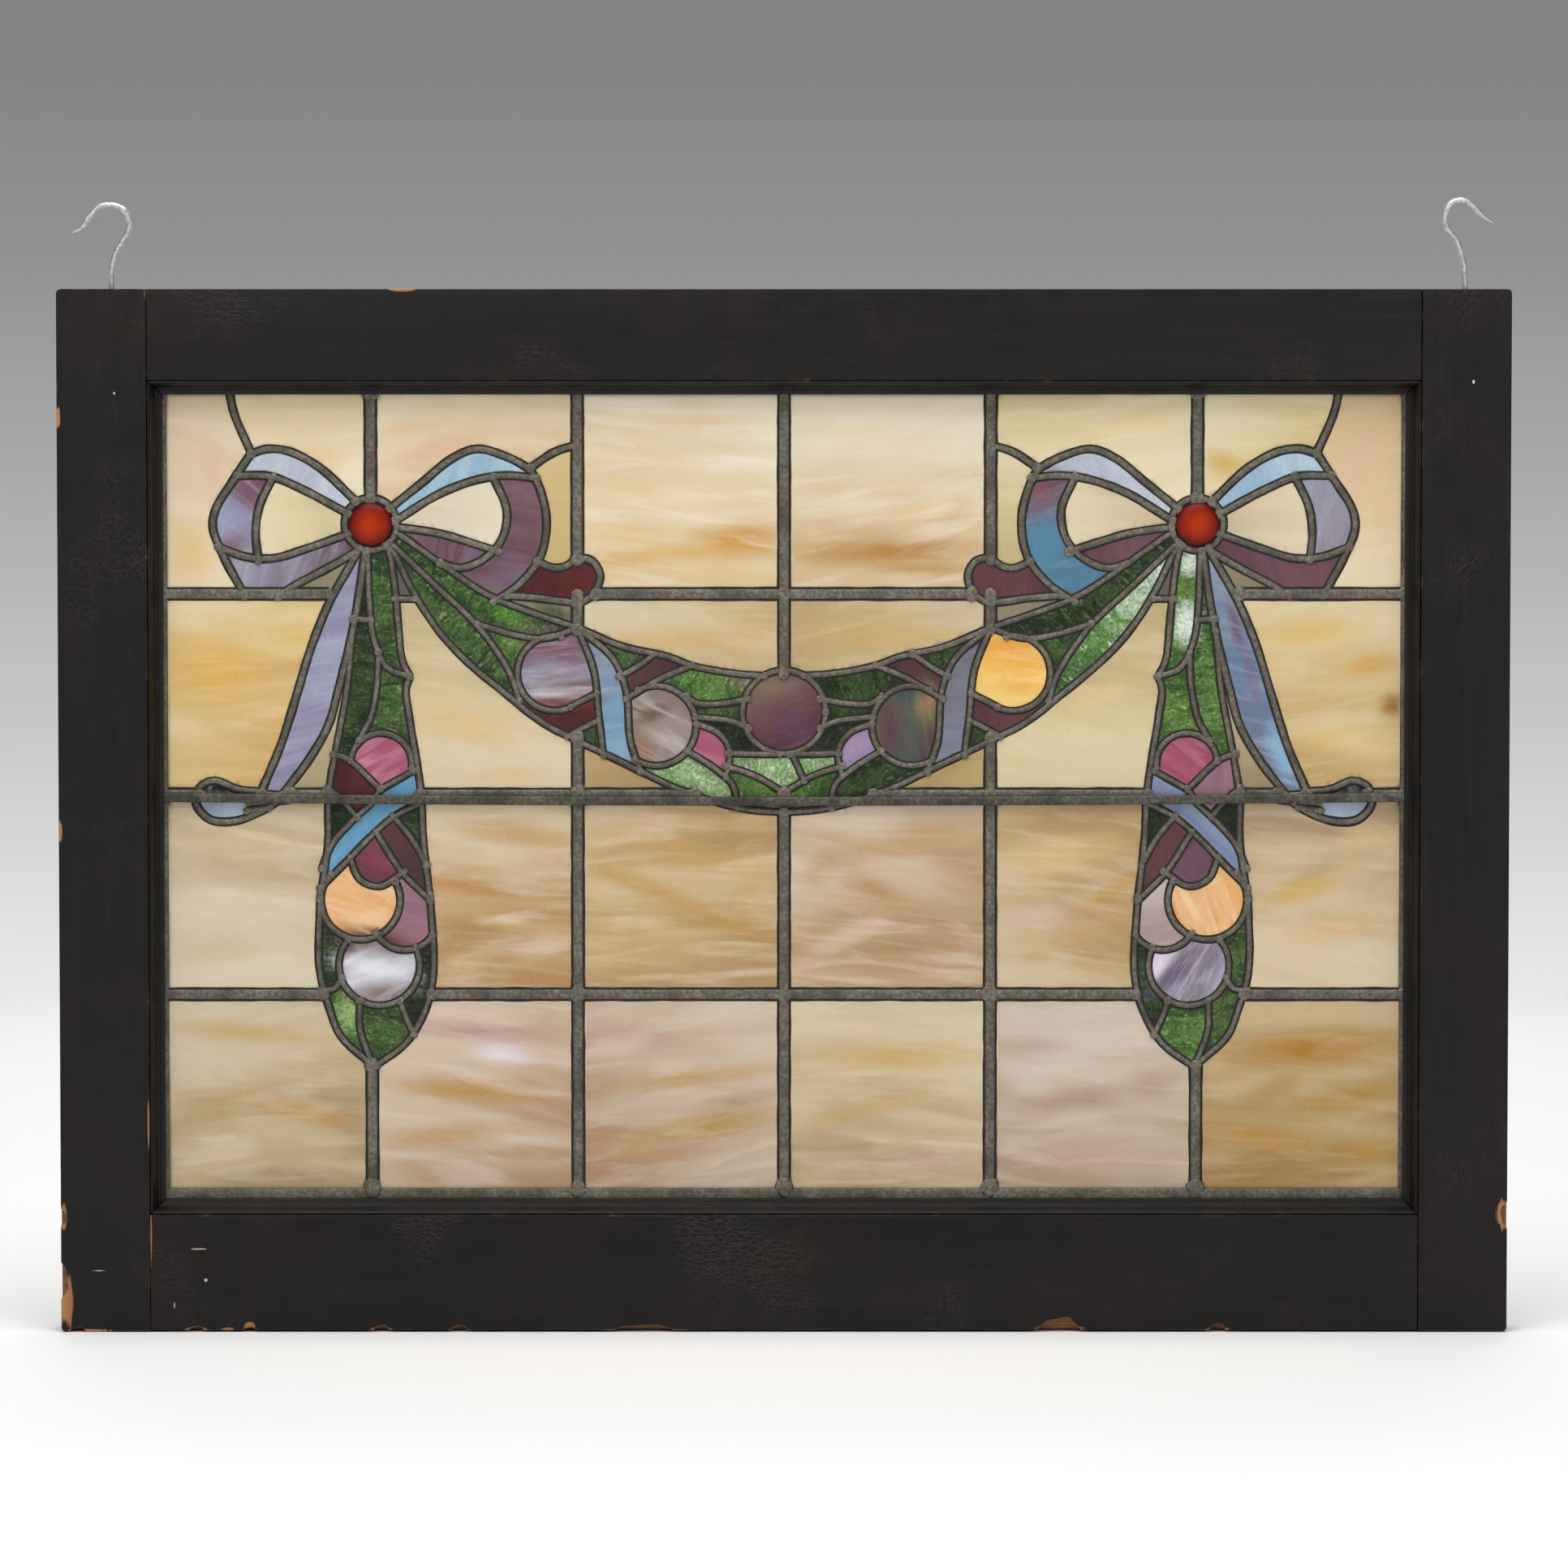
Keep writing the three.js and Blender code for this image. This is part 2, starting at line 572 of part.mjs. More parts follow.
// A bead along X with both ends cut at 45 degrees; `inward` is the way from the opening's edge to the glass.
function mitredBead(halfLength) {
  const count = beadProfile.length;
  const positions = [];
  for (const end of [-1, 1]) {
    for (const [inset, depth] of beadProfile) {
      positions.push(end * (halfLength - gap - inset), depth, -inset);
    }
  }
  const faces = [];
  for (let i = 0; i < count; i += 1) {
    const j = (i + 1) % count;
    faces.push(j, i, count + i, j, count + i, count + j);
  }
  const flat = beadProfile.map(([inset, depth]) => new THREE.Vector2(inset, depth));
  for (const [a, b, c] of THREE.ShapeUtils.triangulateShape(flat, [])) {
    faces.push(a, b, c, count + a, count + c, count + b);
  }
  const geometry = new THREE.BufferGeometry();
  geometry.setAttribute('position', new THREE.Float32BufferAttribute(positions, 3));
  geometry.setIndex(faces);
  return geometry;
}

const openingMiddle = (openingTop + openingBottom) / 2;
const openingHalfHeight = (openingTop - openingBottom) / 2;
const barMiddle = panelMiddle + barEndHeight;
const barPocket = box(
  -barHalfLength - gap, barHalfLength + gap, cameFront - gap - barDepth - gap, cameFront,
  barMiddle - barHeight / 2 - gap, barMiddle + barHeight / 2 + gap,
);
// Each bead with the middle of its edge of the opening and the turn about Y that brings it there.
const beads = [
  { name: 'bead_top', half: openingSide, at: [0, openingTop], turn: 0 },
  { name: 'bead_bottom', half: openingSide, at: [0, openingBottom], turn: Math.PI },
  { name: 'bead_left', half: openingHalfHeight, at: [-openingSide, openingMiddle], turn: -Math.PI / 2 },
  { name: 'bead_right', half: openingHalfHeight, at: [openingSide, openingMiddle], turn: Math.PI / 2 },
];
for (const { name, half, at: [x, z], turn } of beads) {
  const geometry = mitredBead(half).rotateY(turn).translate(x, 0, z);
  addPiece(name, toGeometry(facingOut(geometry).subtract(barPocket)), 'wood');
}

// ---- Round rods: the saddle bar and the hooks ----
// A rod through the points of a path, with a flat end at each end; radiiAt gives its half sizes.
function rod(path, sides, radiiAt) {
  const positions = [];
  const faces = [];
  path.forEach((point, i) => {
    const before = path[Math.max(i - 1, 0)];
    const after = path[Math.min(i + 1, path.length - 1)];
    const along = after.clone().sub(before).normalize();
    const across = new THREE.Vector3(0, 1, 0).cross(along).normalize();
    const [depthRadius, sideRadius] = radiiAt(i / (path.length - 1));
    for (let k = 0; k < sides; k += 1) {
      const angle = 2 * Math.PI * (k + 0.5) / sides;
      const corner = point.clone().addScaledVector(across, sideRadius * Math.cos(angle));
      positions.push(corner.x, corner.y + depthRadius * Math.sin(angle), corner.z);
    }
  });
  for (let i = 0; i < path.length - 1; i += 1) {
    for (let k = 0; k < sides; k += 1) {
      const a = i * sides + k;
      const b = i * sides + (k + 1) % sides;
      faces.push(a, b, b + sides, a, b + sides, a + sides);
    }
  }
  const last = (path.length - 1) * sides;
  for (let k = 1; k < sides - 1; k += 1) {
    faces.push(0, k + 1, k, last, last + k, last + k + 1);
  }
  const geometry = new THREE.BufferGeometry();
  geometry.setAttribute('position', new THREE.Float32BufferAttribute(positions, 3));
  geometry.setIndex(faces);
  return facingOut(geometry);
}

const barPath = [];
for (let i = 0; i <= barSteps; i += 1) {
  const across = -1 + 2 * i / barSteps;
  const drop = barSag * (1 - across * across);
  barPath.push(new THREE.Vector3(across * barHalfLength, cameFront - gap - barDepth / 2, barMiddle - drop));
}
const barRadii = [barDepth, barHeight].map((size) => size / 2 / Math.cos(Math.PI / barSides));
addPiece('saddle_bar', toGeometry(rod(barPath, barSides, () => barRadii)), 'iron');

for (const { name, shank, path } of hooks) {
  const start = new THREE.Vector3(shank, 0, sashTop - hookScrewLength + 1);
  const neck = new THREE.Vector3(shank, 0, sashTop);
  const bends = path.map(([x, z]) => new THREE.Vector3(shank + x, 0, z));
  const points = [start, ...new THREE.CatmullRomCurve3([neck, ...bends]).getSpacedPoints(hookSteps)];
  const taper = (t) => hookWire / 2 * Math.min(1, 0.3 + 4.5 * (1 - t));
  addPiece(name, toGeometry(rod(points, hookSides, (t) => [taper(t), taper(t)])), 'wire');
}

export default object;
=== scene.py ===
import math
import random
from functools import partial

import bmesh
import bpy
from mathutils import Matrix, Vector, noise
from mathutils.geometry import delaunay_2d_cdt


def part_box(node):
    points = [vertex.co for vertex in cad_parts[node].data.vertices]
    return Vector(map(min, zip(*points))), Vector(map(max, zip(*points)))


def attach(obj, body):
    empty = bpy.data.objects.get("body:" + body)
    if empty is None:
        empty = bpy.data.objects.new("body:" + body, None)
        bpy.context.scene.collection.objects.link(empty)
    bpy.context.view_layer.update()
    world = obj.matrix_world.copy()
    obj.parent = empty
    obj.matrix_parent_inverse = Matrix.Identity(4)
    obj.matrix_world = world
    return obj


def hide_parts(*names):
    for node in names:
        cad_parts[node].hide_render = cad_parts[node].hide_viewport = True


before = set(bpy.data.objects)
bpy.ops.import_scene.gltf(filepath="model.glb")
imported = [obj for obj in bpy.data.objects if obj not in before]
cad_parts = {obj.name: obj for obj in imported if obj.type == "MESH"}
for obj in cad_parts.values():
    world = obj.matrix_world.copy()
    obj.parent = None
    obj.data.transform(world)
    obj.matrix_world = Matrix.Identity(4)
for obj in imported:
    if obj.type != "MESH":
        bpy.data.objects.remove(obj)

mm = 0.001
dice = random.Random(7)
bpy.context.view_layer.update()

# The lead lines are given as in the drawing of the window: millimetres out from its middle, and up from
# the lead at the height of the saddle bar. A line is drawn once and used on both sides.


def arcLine(centre, radius, start, end, steps):
    turns = [math.radians(start + (end - start) * i / steps) for i in range(steps + 1)]
    return [(centre[0] + radius * math.cos(t), centre[1] + radius * math.sin(t)) for t in turns]


bowLines = [
    [(342.5, 252), (339, 235.5), (328.5, 211)],
    [(264, 181), (286.5, 202), (305.5, 212), (319, 213.5), (328.5, 210.5)],
    [(328.5, 211), (340, 193.5), (350.5, 176.5), (352.5, 165.5), (347.5, 150.5), (333, 123)],
    [(338, 197), (317, 196.5), (298, 189), (268, 173)],
    [(315, 196.5), (323.5, 178.5), (326, 162), (324.5, 145)],
    [(349, 153), (332.5, 147), (315, 146), (296, 151.5), (266, 162)],
    [(262.5, 151.5), (281.5, 140), (300.5, 130), (312, 123)],
    [(244, 176), (223.5, 192.5), (204, 208), (189, 213.5), (169.5, 208), (156.5, 201)],
    [(157, 202), (150.5, 188.5), (146.5, 168.5), (150.5, 146.5), (164, 129.5), (179.5, 119)],
    [(240, 169), (212, 186), (189, 194.5), (171.5, 197), (152.5, 195.5)],
    [(179.5, 196.5), (171, 175.5), (174.5, 157), (187, 144.5), (200.5, 140), (212, 143)],
    [(238, 165), (213.5, 161.5), (194.5, 156), (176, 150)],
    [(156, 202), (141.5, 211.5), (127.5, 216)],
    [(152, 144), (142, 140), (134.5, 141), (127, 146), (118, 144), (113.5, 135.5), (116.5, 124)],
    [(115, 125), (125.5, 119), (137, 119.5), (151.5, 121.5), (171, 123)],
    [(263, 150), (280.5, 119), (292, 91), (301.5, 60), (311, 30.5), (323.5, 1)],
    [(258.5, 151), (262, 125.5), (266.5, 100.5), (275, 66), (281.5, 43), (294, 21), (311, -1)],
    [(311, -2.5), (322.5, -10), (339.5, -16.5), (355, -15.5), (363.5, -5.5), (361, 4.5), (352, 8.5),
     (337.5, 3), (322, 1.5)],
    [(324, 0.5), (309, -1)],
    [(306, -3.5), (331, -5)],
    [(318, -8), (332, -10)],
]
dropLines = [
    [(266.5, 101), (270.5, 62), (277, 27.5), (281.5, -0.5), (282, -30.5), (287, -65)],
    [(287, -62), (287.5, -109), (281.5, -132.5), (274.5, -150), (254.5, -168.5)],
    [(244, 151), (240, 125.5), (238, 102), (235.5, 82), (231, 73)],
    [(231, 73), (233.5, 65.5), (231.5, 48), (224.5, 2), (223, -28), (219, -65)],
    [(219, -63), (217, -110.5), (222, -133.5), (234, -154), (254.5, -169.5)],
    [(257, 151), (256, 119.5), (253.5, 97), (245, 78.5), (231, 73)],
    [(241, 121), (228, 121)],
    [(250.5, 88), (251.5, 67), (256, 46), (263, 33.5)],
    [(266, 108.5), (255, 108)],
    [(279, 25), (270, 22), (249.5, 3)],
    [(229, 14.5), (249.5, 3)],
    [(282, 4), (272, -4.5), (264, -14)],
    [(249, 4), (255.5, -5.5), (264.5, -14), (279, -30), (286, -46)],
    [(223.5, -4.5), (241.5, -14), (257.5, -28), (268.5, -39.5), (287, -58)],
    [(242, -13), (230.5, -27), (221, -44)],
    [(252.5, -23), (236, -48.5), (218.5, -66)],
    [(268.5, -39), (262.5, -52.5), (250.5, -57), (234.5, -47.5)],
    [(287, -121.5), (278.5, -120.5), (273.5, -113.5)],
    [(262.5, -128), (262.5, -145.5), (254.5, -168.5)],
    [(237.5, -128), (234.5, -137.5), (229, -149)],
    arcLine((249, 19), 19, 188, 5, 14),
    arcLine((262, -65.5), 24.5, 152, 402, 20),
    arcLine((234.5, -76), 20.5, 214, 332, 9),
    arcLine((250.5, -106), 25, 154, 400, 20),
]
garlandLines = [
    [(241, 150), (229.5, 126.5), (213.5, 101.5), (196, 82.5), (171.5, 62), (148.5, 44), (129, 34),
     (90, 15), (66, 3.5), (43, -4.5), (20.5, -9.5), (0, -11)],
    [(238, 161), (209.5, 141), (182, 123), (153, 111.5), (127.5, 103), (99.5, 91.5), (71, 85),
     (56.5, 79.5), (28, 74.5), (12, 73.5)],
    [(240, 153), (215.5, 129.5), (188.5, 103.5), (169.5, 75.5), (163.5, 58)],
    [(189.5, 105.5), (167.5, 99), (148.5, 96.5), (127.5, 103)],
    [(134, 35.5), (124.5, 41), (114.5, 46)],
    [(127.5, 103), (117.5, 76.5), (114.5, 48), (111.5, 24)],
    [(127.5, 103), (105.5, 84), (97.5, 64), (95, 33.5), (88.5, 14)],
    [(101.5, 73), (90, 79.5), (79.5, 87)],
    [(98, 59), (75.5, 72), (56.5, 80)],
    [(60.5, 61), (54, 56.5), (42, 56), (22, 59)],
    [(55, 48), (33, 45.5), (22, 41)],
    [(54.5, 44), (40.5, 38), (33.5, 27), (36, 11)],
    [(60, 27), (42, 15.5), (31.5, 5.5), (29, -8)],
    [(34, 25.5), (18, 25), (3, 25)],
    [(36, 17.5), (18, 11.5), (0, 1)],
    [(132, 54), (124.5, 58), (115.5, 62.5)],
    arcLine((141.5, 75), 23.25, 100, -115, 18),
    arcLine((79, 42.5), 24.75, 63, 302, 20),
]
middleLines = [arcLine((0, 51), 25.75, 0, 360, 28), [(5, 25), (12.5, 8.5)]]
gridLines = [
    [(255, 250), (255, 182.5)], [(255, -168), (255, -247)],
    [(127.5, 250), (127.5, 145)], [(127.5, 120), (127.5, 102)], [(127.5, 35), (127.5, -247)],
    [(383, 124), (281, 124)], [(116, 124), (0, 124)],
    [(383, 0), (361, 0)], [(305, 0), (282, 0)], [(225, 0), (55, 0)],
    [(383, -124), (285, -124)], [(218, -124), (0, -124)],
]
middleGridLines = [[(0, 250), (0, 75)], [(0, -11), (0, -247)]]

panel = {
    "middle": -363.0,  # height of the lead at the saddle bar, in the window as it hangs
    "glassFront": -0.5, "glassBack": 2.5, "cameMiddle": 1.0,  # depths, with minus towards the viewer
    "insideHalf": 380.5, "insideTop": 248.0, "insideBottom": -244.5,  # where the border lead ends
    "column": 127.5, "row": 124.0,  # from lead to lead in the grid
    "jewelOut": 255.0, "jewelUp": 167.0, "jewelRing": 16.0, "jewelHole": 17.5,
    "tuckFrom": 17.0, "tuckTo": 25.0,  # leads that end this far from a jewel's middle run on to its ring
    "step": 3.5,  # between the points of a curved lead
}


def flip(line):
    return [(-x, z) for x, z in line]


def smoothLine(points, step):
    # a centripetal Catmull-Rom curve through the points, sampled every few millimetres
    given = [Vector(p) for p in points]
    if len(given) == 2:
        return given
    knots = [2 * given[0] - given[1]] + given + [2 * given[-1] - given[-2]]
    line = []
    for p0, p1, p2, p3 in zip(knots, knots[1:], knots[2:], knots[3:]):
        d0, d1, d2 = (max((b - a).length, 1e-4) ** 0.5 for a, b in ((p0, p1), (p1, p2), (p2, p3)))
        leave = ((p1 - p0) / d0 - (p2 - p0) / (d0 + d1) + (p2 - p1) / d1) * d1
        arrive = ((p2 - p1) / d1 - (p3 - p1) / (d1 + d2) + (p3 - p2) / d2) * d1
        count = max(1, math.ceil((p2 - p1).length / step))
        for k in range(count):
            t = k / count
            line.append(p1 + leave * t + (3 * (p2 - p1) - 2 * leave - arrive) * t * t
                        + (2 * (p1 - p2) + leave + arrive) * t * t * t)
    return line + [given[-1]]


def tuckedIn(line):
    # a line that ends beside a jewel is carried on under its ring
    knot = Vector((panel["jewelOut"], panel["jewelUp"]))
    ends = []
    for point in (line[0], line[-1]):
        away = Vector(point) - knot
        near = panel["tuckFrom"] < away.length < panel["tuckTo"]
        ends.append([tuple(knot + away.normalized() * panel["jewelRing"])] if near else [])
    return ends[0] + line + ends[1]


def smoothLines(lines):
    return [smoothLine(line, panel["step"]) for line in lines]


def bothSides(lines):
    lines = [tuckedIn(line) for line in lines]
    return smoothLines(lines + [flip(line) for line in lines])


leadWidth = {"grid": 8.0, "bow": 5.0, "leaf": 4.5}  # what each kind of lead covers of the glass
jewelCentres = [Vector((side * panel["jewelOut"], panel["jewelUp"])) for side in (-1, 1)]
jewelRings = [[Vector(p) for p in arcLine(centre, panel["jewelRing"], 0, 360, 40)]
              for centre in jewelCentres]
leads = {
    "grid": bothSides(gridLines) + smoothLines(middleGridLines),
    "bow": bothSides(bowLines),
    "leaf": bothSides(dropLines + garlandLines) + smoothLines(middleLines),
}


def addNode(tree, kind, inputs=(), stops=None, **settings):
    # inputs go to the node's open sockets, in order or by name; a node given as a value means its output
    node = tree.nodes.new(kind)
    for name, value in settings.items():
        setattr(node, name, value)
    for index, (position, colour) in enumerate(stops or []):
        elements = node.color_ramp.elements
        element = elements[index] if index < 2 else elements.new(position)
        element.position = position
        element.color = hexColour(colour) if isinstance(colour, str) else (colour, colour, colour, 1)
    sockets = [s for s in node.inputs if s.enabled]
    for key, value in inputs.items() if isinstance(inputs, dict) else enumerate(inputs):
        socket = sockets[key] if isinstance(key, int) else next(s for s in sockets if s.name == key)
        if isinstance(value, bpy.types.Node):
            value = next(s for s in value.outputs if s.enabled)
        if isinstance(value, bpy.types.NodeSocket):
            tree.links.new(value, socket)
        else:
            socket.default_value = value
    return node


def hexColour(text):
    channels = [int(text[i:i + 2], 16) / 255 for i in (0, 2, 4)]
    return tuple(c / 12.92 if c <= 0.04045 else ((c + 0.055) / 1.055) ** 2.4 for c in channels) + (1.0,)


# the kinds of node that nearly every material below is made of
calc, mix, ramp, grain = "ShaderNodeMath", "ShaderNodeMix", "ShaderNodeValToRGB", "ShaderNodeTexNoise"
stretch, vectors = "ShaderNodeMapping", "ShaderNodeVectorMath"


def newMaterial(name):
    # gives the material, its node adder, and its object coordinates in millimetres
    material = bpy.data.materials.new(name)
    material.use_nodes = True
    tree = material.node_tree
    tree.nodes.clear()
    add = partial(addNode, tree)
    coords = add("ShaderNodeTexCoord").outputs["Object"]
    return material, add, add(stretch, {"Vector": coords, "Scale": [1 / mm] * 3})


def finishMaterial(add, colour, rough, height, depth, **fixed):
    # depth is the height of the bump in millimetres
    bump = add("ShaderNodeBump", {"Height": height, "Distance": depth * mm})
    inputs = {"Base Color": colour, "Roughness": rough, "Normal": bump}
    inputs |= {name.replace("_", " "): value for name, value in fixed.items()}
    add("ShaderNodeOutputMaterial", [add("ShaderNodeBsdfPrincipled", inputs)])


print("stage: lead materials")


def leadMaterial(name, tones, dull, smear):
    # oxidised lead came: dull grey-olive, brighter where it was rubbed, dirty in patches, and darker low on
    # its flanks with grime and painted shade
    material, add, place = newMaterial(name)
    plain, bright, dirt, grimeAndShade = (hexColour(tone) for tone in tones)
    patches = add(grain, [place, 0.045, 4, 0.6])
    scuffs = add(grain, [place, 0.45, 5, 0.65])
    pits = add(grain, [place, 2.2, 2, 0.5])
    rubbed = add(ramp, [scuffs], stops=[(0.4, 0.0), (0.66, 1.0)])
    dirty = add(ramp, [patches], stops=[(0.42, 0.0), (0.66, smear)])
    tone = add(mix, [rubbed, plain, bright], data_type="RGBA")
    tone = add(mix, [dirty, tone, dirt], data_type="RGBA")
    # grime and painted shade lie low on both flanks, where the lead meets the glass, and the crown is left
    # lighter, a painted highlight
    depth = add("ShaderNodeSeparateXYZ", [place]).outputs[1]
    crown = add(calc, [depth, panel["cameMiddle"]], operation="SUBTRACT")
    crown = add(calc, [crown], operation="ABSOLUTE")
    sooty = add(ramp, [add(calc, [crown, 0.3], operation="MULTIPLY")], stops=[(0.4, 0.85), (0.76, 0.0)])
    tone = add(mix, [sooty, tone, grimeAndShade], data_type="RGBA")
    rough = add(ramp, [scuffs], stops=[(0.3, dull), (0.75, dull - 0.16)])
    height = add(calc, [pits, 0.35, scuffs], operation="MULTIPLY_ADD")
    finishMaterial(add, tone, rough, height, 0.3, Metallic=0.35)
    return material


cameLead = leadMaterial("weathered lead came", ("5b564c", "868073", "3d392f", "24211b"), 0.6, 0.7)
# tin solder weathers as lead does, but stays a little brighter and smoother
solderMetal = leadMaterial("old tin solder", ("5d594e", "8a8577", "423e34", "2a271f"), 0.52, 0.6)
# the iron bar has the same dull skin, darker and browner
barIron = leadMaterial("dull wrought bar", ("403c33", "6c675b", "28251e", "1e1b16"), 0.6, 0.7)


def cementMaterial():
    # glazier's cement and soot along the lead: matt and nearly black, it darkens the edge of each pane
    material, add, place = newMaterial("sooty glazing cement")
    crumbs = add(grain, [place, 0.9, 4, 0.6])
    tone = add(ramp, [crumbs], stops=[(0.35, "14120e"), (0.8, "3c372d"), (0.6, "221f19")])
    finishMaterial(add, tone, 0.85, crumbs, 0.3)
    return material


cement = cementMaterial()

print("stage: cames")


def newTree(name, geometry, *sizes):
    # the geometry comes first, because a modifier hands its mesh to the first input
    tree = bpy.data.node_groups.new(name, "GeometryNodeTree")
    tree.interface.new_socket(geometry, in_out="INPUT", socket_type="NodeSocketGeometry")
    for label, default in sizes:
        kind = "NodeSocketInt" if label == "Seed" else "NodeSocketFloat"
        tree.interface.new_socket(label, in_out="INPUT", socket_type=kind).default_value = default
    tree.interface.new_socket("Finish", in_out="INPUT", socket_type="NodeSocketMaterial")
    tree.interface.new_socket("Geometry", in_out="OUTPUT", socket_type="NodeSocketGeometry")
    add = partial(addNode, tree)
    return tree, add, add("NodeGroupInput").outputs


def closeTree(add, geometry, finish):
    plain = add("GeometryNodeRealizeInstances", [geometry])
    smooth = add("GeometryNodeSetShadeSmooth", {"Geometry": plain, "Shade Smooth": True})
    add("NodeGroupOutput", [add("GeometryNodeSetMaterial", {"Geometry": smooth, "Material": finish})])


def strandTree():
    # a bar with rounded edges along each line of a mesh; the lines lie flat, with +Z towards the viewer
    tree, add, given = newTree("strand along lines", "Lines", ("Width", 0.008), ("Depth", 0.0054),
                               ("Rounding", 0.0018), ("Wander", 0.05), ("Seed", 1))
    line = add("GeometryNodeMeshToCurve", {"Mesh": given["Lines"]})
    line = add("GeometryNodeSetCurveNormal", {"Curve": line}, mode="Z_UP")
    section = add("GeometryNodeCurvePrimitiveQuadrilateral", {
        "Width": given["Width"], "Height": given["Depth"]})
    section = add("GeometryNodeFilletCurve", {
        "Curve": section, "Count": 3, "Radius": given["Rounding"], "Limit Radius": True}, mode="POLY")
    # the width wanders slowly along each strand, as lead stretched by hand does
    drift = add(grain, {"Vector": add("GeometryNodeInputPosition"), "W": given["Seed"], "Scale": 70.0,
                        "Detail": 2.0}, noise_dimensions="4D")
    drift = add(calc, [drift, 0.5], operation="SUBTRACT")
    girth = add(calc, [drift, given["Wander"], 1.0], operation="MULTIPLY_ADD")
    strand = add("GeometryNodeCurveToMesh", {
        "Curve": line, "Profile Curve": section, "Scale": girth, "Fill Caps": True})
    closeTree(add, strand, given["Finish"])
    return tree


def blobTree():
    # a flattened bead of solder on each point, turned and sized at random
    tree, add, given = newTree("solder on joints", "Joints", ("Height", 0.0012), ("Seed", 3))
    bead = add("GeometryNodeMeshIcoSphere", {"Radius": 1.0, "Subdivisions": 2})
    lumps = add(calc, [add(grain, {"Scale": 1.7, "Detail": 1.0}), 0.5], operation="SUBTRACT")
    lumps = add(calc, [lumps, 0.6], operation="MULTIPLY")
    swell = add(vectors, [add("GeometryNodeInputNormal"), lumps], operation="SCALE")
    bead = add("GeometryNodeSetPosition", {"Geometry": bead, "Offset": swell})
    reach = add("GeometryNodeInputNamedAttribute", {"Name": "reach"}, data_type="FLOAT")
    spread = add("FunctionNodeRandomValue", {
        "Min": 0.8, "Max": 1.15, "Seed": given["Seed"]}, data_type="FLOAT")
    wide = add(calc, [reach, spread], operation="MULTIPLY")
    seed = add(calc, [given["Seed"], 5.0], operation="ADD")
    oval = add("FunctionNodeRandomValue", {"Min": 0.85, "Max": 1.25, "Seed": seed}, data_type="FLOAT")
    size = add("ShaderNodeCombineXYZ", [
        wide, add(calc, [wide, oval], operation="MULTIPLY"), given["Height"]])
    turn = add("FunctionNodeRandomValue", {"Max": 6.28, "Seed": seed}, data_type="FLOAT")
    blobs = add("GeometryNodeInstanceOnPoints", {
        "Points": given["Joints"], "Instance": bead, "Rotation": add("ShaderNodeCombineXYZ", {"Z": turn}),
        "Scale": size})
    closeTree(add, blobs, given["Finish"])
    return tree


def grown(tree, source, values):
    # runs a tree on a mesh and gives the plain mesh that comes out
    holder = bpy.data.objects.new("holder", source)
    bpy.context.scene.collection.objects.link(holder)
    modifier = holder.modifiers.new("grow", "NODES")
    modifier.node_group = tree
    for socket in tree.interface.items_tree:
        if socket.in_out == "INPUT" and socket.name in values:
            modifier[socket.identifier] = values[socket.name]
    evaluated = holder.evaluated_get(bpy.context.evaluated_depsgraph_get())
    mesh = bpy.data.meshes.new_from_object(evaluated)
    bpy.data.objects.remove(holder)
    return mesh


def standUp(mesh, depth):
    # from lying flat to upright in the window, with what was up now to the front
    for vertex in mesh.vertices:
        x, z, up = vertex.co
        vertex.co = Vector((x, depth - up, z))
    mesh.update()
    return mesh


def addPiece(name, mesh, replaced=(), materials=()):
    piece = bpy.data.objects.new(name, mesh)
    bpy.context.scene.collection.objects.link(piece)
    for material in materials:
        mesh.materials.append(material)
    mesh.name = name
    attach(piece, "root")
    if replaced:
        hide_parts(*replaced)
    return piece


def flatLines(lines, step=0.0):
    # the lines as loose edges on the ground, in metres; straight ones are cut up into steps
    vertices, edges = [], []
    for line in lines:
        if step and len(line) == 2:
            count = max(2, round((line[1] - line[0]).length / step))
            line = [line[0].lerp(line[1], k / count) for k in range(count + 1)]
        first = len(vertices)
        vertices += [(x * mm, (z + panel["middle"]) * mm, 0) for x, z in line]
        edges += [(i, i + 1) for i in range(first, len(vertices) - 1)]
    mesh = bpy.data.meshes.new("lines")
    mesh.from_pydata(vertices, edges, [])
    return mesh


def windingOutward(mesh):
    bm = bmesh.new()
    bm.from_mesh(mesh)
    bmesh.ops.remove_doubles(bm, verts=bm.verts, dist=1e-7)
    bmesh.ops.recalc_face_normals(bm, faces=bm.faces)
    bm.to_mesh(mesh)
    bm.free()
    return mesh


strands = strandTree()


def strandMesh(spec, seed, finish):
    # one mesh of strands along the spec's lines, with its sizes in millimetres
    values = {key: spec[key] * mm for key in ("Width", "Depth", "Rounding")}
    values |= {"Wander": spec["Wander"], "Seed": seed, "Finish": finish}
    lines = flatLines(spec["lines"], spec.get("step", 0.0))
    return windingOutward(standUp(grown(strands, lines, values), spec["middle"] * mm))


bowLeads = leads["bow"] + jewelRings
cames = {
    "cames_grid": {"lines": leads["grid"], "Width": 7.3, "Depth": 5.4, "Rounding": 2.3, "Wander": 0.07},
    "cames_bow": {"lines": bowLeads, "Width": 4.5, "Depth": 5.4, "Rounding": 2.0, "Wander": 0.1},
    "cames_leaf": {"lines": leads["leaf"], "Width": 3.8, "Depth": 5.3, "Rounding": 1.75, "Wander": 0.12},
}
